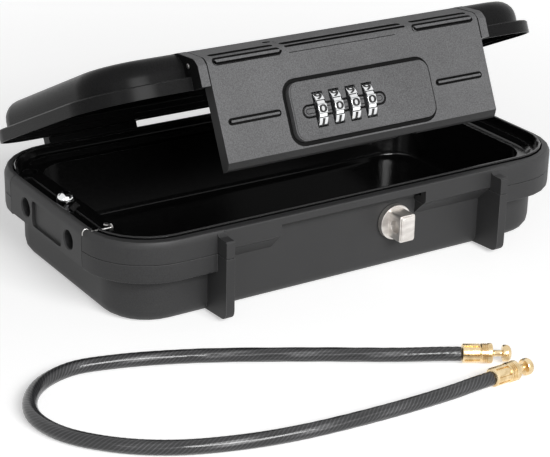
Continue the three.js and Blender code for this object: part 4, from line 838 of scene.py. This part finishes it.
# %% [markdown]
# ## The lock's plate and the painted shade of its gap
# The lock's plate stands proud in a recess of the flap, and a near-black strip fills the
# gap round it as painted shade of the deep gap. Round the wheels the plate has a long oval
# groove and a finer one inside. The strip is a flat rectangle whose corners are bevelled,
# inset to a frame and extruded.

# %% Carve the plate and model the gap's painted shade
PLATE_FACE = FLAP_FRONT - 2.64
INDEX = (-31.3, 10.8, 19.85, 25.75)  # the long groove's left, right, low and high
INDEX_EDGE, INDEX_WIDE, INDEX_DEEP = 0.05, 0.9, 0.85
FINE_IN, FINE_WIDE, FINE_DEEP = 1.75, 0.35, 0.4

plate = paint(cleaned_copy("lock_plate", "lock_faceplate"), PLATE_BLACK)
plate.data.transform(OPEN_TURN.inverted())
x0, x1, z0, z1 = INDEX
for inset, wide, deep in (
    (-INDEX_EDGE, INDEX_WIDE + 2 * INDEX_EDGE, INDEX_DEEP),
    (FINE_IN, FINE_WIDE, FINE_DEEP),
):
    ring = ring_cutter(
        x0 + inset, x1 - inset, z0 + inset, z1 - inset, wide, PLATE_FACE, deep
    )
    combine(plate, ring, "DIFFERENCE")
plate.data.transform(OPEN_TURN)
moulded(plate, FLAP_EDGE_WEAR_HIGHLIGHT, "flap", "flap_black", 0.15, "lock_faceplate")

PANEL_HALF, PANEL_LOW, PANEL_HIGH, PANEL_CORNER = 37.5, 9.05, 37.6, 6.5
GAP_SHADE_WIDE, GAP_SHADE_HIGH, GAP_SHADE_SLACK = 1.7, 0.85, 0.08
clear_selection()
bpy.ops.mesh.primitive_plane_add(
    size=1,
    location=(0, (FLAP_FRONT + 1.25) * MM, (PANEL_LOW + PANEL_HIGH) / 2 * MM),
    rotation=(math.radians(90), 0, 0),
)
gap_shade = bpy.context.object
gap_shade.name = gap_shade.data.name = "plate_gap_shade"
gap_shade.scale = (
    2 * (PANEL_HALF - GAP_SHADE_SLACK) * MM, (PANEL_HIGH - PANEL_LOW - 2 * GAP_SHADE_SLACK) * MM, 1
)
bpy.ops.object.transform_apply(location=True, rotation=True, scale=True)
to_edit(gap_shade)
bpy.ops.mesh.bevel(offset=PANEL_CORNER * MM, segments=10, affect="VERTICES")
bpy.ops.mesh.select_all(action="SELECT")
bpy.ops.mesh.inset(thickness=GAP_SHADE_WIDE * MM)
bpy.ops.mesh.delete(type="FACE")
bpy.ops.mesh.select_all(action="SELECT")
bpy.ops.mesh.extrude_region_move(TRANSFORM_OT_translate={"value": (0, -GAP_SHADE_HIGH * MM, 0)})
bpy.ops.mesh.select_all(action="SELECT")
bpy.ops.mesh.normals_make_consistent(inside=False)
to_object()
# The strip is near-black painted shade for the deep gap round the plate.
paint(gap_shade, SHADE_BLACK)
soften(gap_shade, 0.2, 3)
gap_shade.data.transform(OPEN_TURN)
finish_piece(gap_shade, "flap", "gloss_black")
print("gap_shade", len(gap_shade.data.polygons), "faces")

# %% [markdown]
# ## The number wheels
# A wheel is a short chromed drum with ten raised pads, one to a number, and hollow cells
# between them, whose sloped walls are painted black as painted shade. One drum is modelled,
# with sixty sides so that a pad is four of them and a cell two, and its sides are dished
# round the bore. It is then copied to each place.

# %% Model one wheel
WHEEL_RADIUS, WHEEL_WIDE, WHEEL_BORE = 9.3, 4.15, 1.7
WHEEL_Y, WHEEL_Z = FLAP_FRONT + 4.16, 22.9
WHEEL_FIRST_X, WHEEL_PITCH = -22.6, 8.28

clear_selection()
bpy.ops.mesh.primitive_cylinder_add(
    vertices=60, radius=WHEEL_RADIUS * MM, depth=WHEEL_WIDE * MM, rotation=(0, math.pi / 2, 0)
)
wheel = bpy.context.object
wheel.name = wheel.data.name = "wheel"
bpy.ops.object.transform_apply(location=True, rotation=True, scale=True)
to_edit(wheel)


PAD_TURN = 36  # degrees from one number's pad to the next
CELL_START, CELL_END = 12, 24  # degrees from a pad's middle
CELL_EDGE, CELL_DEEP = 0.24, 0.4
PAD_RADIUS = 8.5  # what lies further out is a pad or a cell


def between_pads(middle, normal):
    turn = math.degrees(math.atan2(middle.z, -middle.y)) % PAD_TURN
    return abs(normal.x) < 0.5 and CELL_START < turn < CELL_END


cells = select_faces(wheel, between_pads)
bpy.ops.mesh.inset(thickness=CELL_EDGE * MM, depth=-CELL_DEEP * MM)
for thick, deep in ((0.9, 0), (0.25, -0.45), (WHEEL_RADIUS - WHEEL_BORE - 1.15, 0)):
    select_faces(wheel, lambda middle, normal: abs(normal.x) > 0.9 and middle.yz.length < MM)
    bpy.ops.mesh.inset(thickness=thick * MM, depth=deep * MM)
select_faces(wheel, lambda middle, normal: abs(normal.x) > 0.9 and middle.yz.length < MM)
bpy.ops.mesh.bridge_edge_loops()
bpy.ops.mesh.select_all(action="SELECT")
bpy.ops.mesh.normals_make_consistent(inside=False)
to_object()
paint(wheel, CHROME, SHADE_BLACK)
# The cells' sloped walls are painted near-black as painted shade. Pads and cell floors stay chrome.
for face in wheel.data.polygons:
    outward = Vector((0, face.center.y, face.center.z)).normalized()
    if face.center.yz.length > PAD_RADIUS * MM and abs(face.normal.x) < 0.95:
        face.material_index = int(face.normal.dot(outward) < 0.85)
soften(wheel, 0.12, 2, 25)
print("one wheel:", cells, "cell faces,", len(wheel.data.polygons), "faces")

# %% [markdown]
# ## The numbers
# The numbers are black, 3.3 mm high, and stand 36 degrees apart. Each is a text
# object that is made a mesh, centred, stood up to face the front, laid on the drum
# and turned to its pad. The zero faces the front, and the one is below it.

# %% Model the numbers
FIGURE_SIZE, FIGURE_DEEP, FIGURE_BOLD, FIGURE_STRETCH = 4.6, 0.2, 0.12, 1.7


def figure(digit):
    clear_selection()
    bpy.ops.object.text_add(location=(0, 0, 0))
    text = bpy.context.object
    text.data.body = str(digit)
    text.data.size = FIGURE_SIZE * MM
    text.data.extrude = FIGURE_DEEP / 2 * MM
    text.data.offset = FIGURE_BOLD * MM
    text.data.resolution_u = 3
    bpy.ops.object.convert(target="MESH")
    text = bpy.context.object
    xs, ys = ([v.co[i] for v in text.data.vertices] for i in (0, 1))
    centre = Matrix.Translation((-(min(xs) + max(xs)) / 2, -(min(ys) + max(ys)) / 2, 0))
    front = Matrix.Translation((0, (-WHEEL_RADIUS + FIGURE_DEEP / 2 - 0.02) * MM, 0))
    text.data.transform(
        Matrix.Rotation(math.radians(PAD_TURN * digit), 4, "X")
        @ front
        @ Matrix.Rotation(math.radians(90), 4, "X")
        @ Matrix.Diagonal((FIGURE_STRETCH, 1, 1, 1))
        @ centre
    )
    return text


figures = [figure(digit) for digit in range(10)]
clear_selection()
for text in figures:
    text.select_set(True)
bpy.context.view_layer.objects.active = figures[0]
bpy.ops.object.join()
numbers = bpy.context.object
numbers.name = numbers.data.name = "numbers"
print("numbers", len(numbers.data.polygons), "faces")

# %% [markdown]
# ## Paint in the numbers
# The numbers are filled with black enamel, which is a little glossy and not quite even.

# %% Material of the numbers, and the four wheels
ENAMEL = moulded_plastic("black_enamel", grey(0.006), 0.3, 4000, 0.00001, 0.4)
paint(numbers, ENAMEL)


def placed_copy(source, name, shift, body, slot, *replaced):
    piece = bpy.data.objects.new(name, source.data.copy())
    piece.data.name = name
    bpy.context.scene.collection.objects.link(piece)
    piece.data.transform(OPEN_TURN @ Matrix.Translation(Vector(shift) * MM))
    return finish_piece(piece, body, slot, *replaced)


for i in (1, 2, 3, 4):
    place = (WHEEL_FIRST_X + (i - 1) * WHEEL_PITCH, WHEEL_Y, WHEEL_Z)
    placed_copy(wheel, f"wheel_{i}", place, f"dial_{i}", "chrome", f"dial_wheel_{i}")
    placed_copy(numbers, f"wheel_{i}_numbers", place, f"dial_{i}", "gloss_black")
bpy.data.objects.remove(wheel)
bpy.data.objects.remove(numbers)

# %% [markdown]
# ## The cover's screws
# Four small pan-head screws hold the cover of the lock's box. One is turned, a cross
# recess is cut in its head, and it is copied to the four places.

# %% Model the screws
screw_low, screw_high = shut_box("cover_screw_1")
screw_long = screw_high.y - screw_low.y
screw_head = (screw_high.x - screw_low.x) / 2
SCREW_SHANK, SCREW_HEAD_HIGH = 0.7, 0.6
RECESS_HALF, RECESS_BLADE, RECESS_DEEP = 0.62, 0.13, 0.3

screw = turned(
    "screw",
    [
        (0, SCREW_SHANK - 0.35), (0.5, SCREW_SHANK),
        (screw_long - SCREW_HEAD_HIGH, SCREW_SHANK),
        (screw_long - SCREW_HEAD_HIGH + 0.02, screw_head - 0.1),
        (screw_long - SCREW_HEAD_HIGH + 0.15, screw_head),
        (screw_long - 0.25, screw_head * 0.9), (screw_long, screw_head * 0.55),
    ],
    32,
)
for turn in (0, 90):
    blade = pill(
        "blade", -RECESS_HALF, RECESS_HALF, -RECESS_BLADE, RECESS_BLADE, 0, 0.45, 12
    )
    blade.data.transform(
        Matrix.Translation((0, 0, (screw_long - RECESS_DEEP) * MM))
        @ Matrix.Rotation(math.radians(turn), 4, "Z")
        @ Matrix.Rotation(math.radians(90), 4, "X")
    )
    combine(screw, blade, "DIFFERENCE")
smooth(screw)
paint(screw, STEEL)
screw.data.transform(Matrix.Rotation(math.radians(-90), 4, "X"))
for i in (1, 2, 3, 4):
    low, high = shut_box(f"cover_screw_{i}")
    place = ((low.x + high.x) / 2, low.y, (low.z + high.z) / 2)
    placed_copy(screw, f"case_screw_{i}", place, "flap", "steel", f"cover_screw_{i}")
bpy.data.objects.remove(screw)
print("screw", round(screw_long, 2), "mm long, head", round(2 * screw_head, 2), "mm across")

# %% [markdown]
# ## Knob, pin and rivet of the cable channel
# The slider is moved by a chromed ball with a slot across its top. A pin with a
# mushroom head lies across the channel's front end, beside a small domed rivet, and a
# thin wire is hooked over the case's edge next to it. The ball, the pin and the rivet are
# turned, and the slot is cut from the ball.

# %% Model the knob, pin and rivet
KNOB_MIDDLE, KNOB_RADIUS, STEM_RADIUS = Vector((-110, 0.4, 38.8)), 3.8, 1.4
SLOT_HALF, SLOT_FLOOR = 0.35, 2.2  # half its width, and its floor above the ball's middle
WIRE_RADIUS = 0.24


def ball_profile(radius, bottom_radius, steps=14):
    first = math.asin(bottom_radius / radius)
    angles = [first + (math.pi - 0.16 - first) * i / steps for i in range(steps + 1)]
    return [(-radius * math.cos(a), radius * math.sin(a)) for a in angles]


knob = turned("slider_knob", ball_profile(KNOB_RADIUS, STEM_RADIUS + 0.5), 48)
slot_cutter = pill("slot", -5, 5, -SLOT_HALF, SLOT_HALF, 0, 5, 12)
slot_cutter.data.transform(
    Matrix.Translation((0, 0, SLOT_FLOOR * MM)) @ Matrix.Rotation(math.radians(90), 4, "X")
)
combine(knob, slot_cutter, "DIFFERENCE")
smooth(knob, 30)
knob.data.transform(Matrix.Translation(KNOB_MIDDLE * MM))
finish_piece(paint(knob, CHROME), "retainer", "chrome", "retainer_knob")

pin_low, pin_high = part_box("headed_pin")
pin_y, pin_z = (pin_low.y + pin_high.y) / 2 / MM, (pin_low.z + pin_high.z) / 2 / MM
pin_head = (pin_high.z - pin_low.z) / 2 / MM
pin_long = (pin_high.x - pin_low.x) / MM
pin = turned(
    "channel_pin",
    [
        (0, 0.3), (0.2, 0.5), (pin_long - 0.75, 0.5), (pin_long - 0.7, pin_head - 0.25),
        (pin_long - 0.5, pin_head), (pin_long - 0.25, pin_head * 0.8), (pin_long, pin_head * 0.35),
    ],
    32,
)
smooth(pin, 40)
pin.data.transform(
    Matrix.Translation((pin_low.x, pin_y * MM, pin_z * MM)) @ Matrix.Rotation(math.pi / 2, 4, "Y")
)
finish_piece(paint(pin, STEEL), "base", "chrome", "headed_pin")

rivet_low, rivet_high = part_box("channel_rivet")
rivet_x, rivet_y = ((rivet_low[i] + rivet_high[i]) / 2 for i in (0, 1))
rivet_long = (rivet_high.z - rivet_low.z) / MM
rivet = turned(
    "channel_stud",
    [
        (0, 0.5), (0.2, 0.65), (rivet_long - 0.7, 0.65), (rivet_long - 0.68, 1.2),
        (rivet_long - 0.5, 1.3), (rivet_long - 0.2, 1.05), (rivet_long - 0.05, 0.6),
        (rivet_long, 0.2),
    ],
    32,
)
smooth(rivet, 40)
rivet.data.transform(Matrix.Translation((rivet_x, rivet_y, rivet_low.z)))
finish_piece(paint(rivet, STEEL), "base", "chrome", "channel_rivet")

WIRE_MM = [
    (-117.6, -36.1, 39.75), (-118.3, -35.9, 40.2), (-119.2, -35.85, 40.05), (-119.85, -35.85, 39.4),
    (-120.2, -35.9, 38.5), (-120.25, -36.0, 37.7),
]
wire_line = spline_through([Vector(p) * MM for p in WIRE_MM], 6)
wire = swept_tube("hooked_wire", wire_line, WIRE_RADIUS * MM, 12, 0)
finish_piece(paint(wire, STEEL), "base", "steel")
print("pin", round(pin_long, 2), "mm, rivet", round(rivet_long, 2), "mm")

# %% [markdown]
# ## The floor and the light
# The floor is plain and pale. To the camera and in reflections it glows, the more the
# further it is from the object, so that it reads as white and still keeps the shadow.
# The world is white to the camera too, and weak as a light. One large soft lamp in front
# lights the object, and a small one fills in its left side.

# %% Floor
GLOW_NEAR, GLOW_FAR = (0.2, 0.5), (0.55, 0.75)  # distance from the middle, strength

clear_selection()
bpy.ops.mesh.primitive_plane_add(size=8)
floor = bpy.context.object
floor.name = "floor"
floor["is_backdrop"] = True
floor_paint, floor_tree, floor_shader = blank_material(
    "floor_white", Base_Color=(0.75, 0.75, 0.75, 1), Roughness=0.9
)
path = floor_tree.nodes.new("ShaderNodeLightPath")
seen = new_node(floor_tree, "ShaderNodeMath", operation="MAXIMUM")
floor_tree.links.new(path.outputs["Is Camera Ray"], seen.inputs[0])
floor_tree.links.new(path.outputs["Is Glossy Ray"], seen.inputs[1])
away = new_node(floor_tree, "ShaderNodeVectorMath", operation="LENGTH")
floor_tree.links.new(object_point(floor_tree), away.inputs[0])
far = new_node(
    floor_tree,
    "ShaderNodeMapRange",
    {
        "From Min": GLOW_NEAR[0], "From Max": GLOW_FAR[0],
        "To Min": GLOW_NEAR[1], "To Max": GLOW_FAR[1],
    },
)
floor_tree.links.new(away.outputs["Value"], far.inputs["Value"])
glow = new_node(floor_tree, "ShaderNodeMath", operation="MULTIPLY")
floor_tree.links.new(seen.outputs[0], glow.inputs[0])
floor_tree.links.new(far.outputs["Result"], glow.inputs[1])
floor_shader.inputs["Emission Color"].default_value = (1, 1, 1, 1)
floor_tree.links.new(glow.outputs[0], floor_shader.inputs["Emission Strength"])
floor.data.materials.append(floor_paint)

# %% World
SKY_LEVEL = 0.12  # strength of the world's light on the object

world = bpy.data.worlds.new("studio")
bpy.context.scene.world = world
world.use_nodes = True
sky = world.node_tree
sky_path = sky.nodes.new("ShaderNodeLightPath")
direct = new_node(sky, "ShaderNodeMath", operation="MAXIMUM")
either = new_node(sky, "ShaderNodeMath", operation="MAXIMUM")
sky.links.new(sky_path.outputs["Is Camera Ray"], direct.inputs[0])
sky.links.new(sky_path.outputs["Is Transmission Ray"], direct.inputs[1])
sky.links.new(direct.outputs[0], either.inputs[0])
sky.links.new(sky_path.outputs["Is Glossy Ray"], either.inputs[1])
white = new_node(sky, "ShaderNodeMapRange", {"To Min": SKY_LEVEL, "To Max": 1.0})
sky.links.new(either.outputs[0], white.inputs["Value"])
sky.links.new(white.outputs["Result"], sky.nodes["Background"].inputs["Strength"])
sky.nodes["Background"].inputs["Color"].default_value = (1, 1, 1, 1)


# %% Lamps
def softbox(name, place, aim, width, height, power):
    lamp = bpy.data.lights.new(name, "AREA")
    lamp.shape = "RECTANGLE"
    lamp.size, lamp.size_y = width, height
    lamp.energy = power
    holder = bpy.data.objects.new(name, lamp)
    bpy.context.scene.collection.objects.link(holder)
    holder.location = place
    holder.rotation_euler = (Vector(aim) - Vector(place)).to_track_quat("-Z", "Y").to_euler()
    return holder


softbox("front_box", (-0.12, -1.35, 0.8), (0, 0, 0.05), 0.9, 0.5, 24)
softbox("corner_box", (-1.15, -0.9, 0.55), (0, 0, 0.05), 0.3, 0.4, 0.8)

# %% Sizes
low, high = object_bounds()
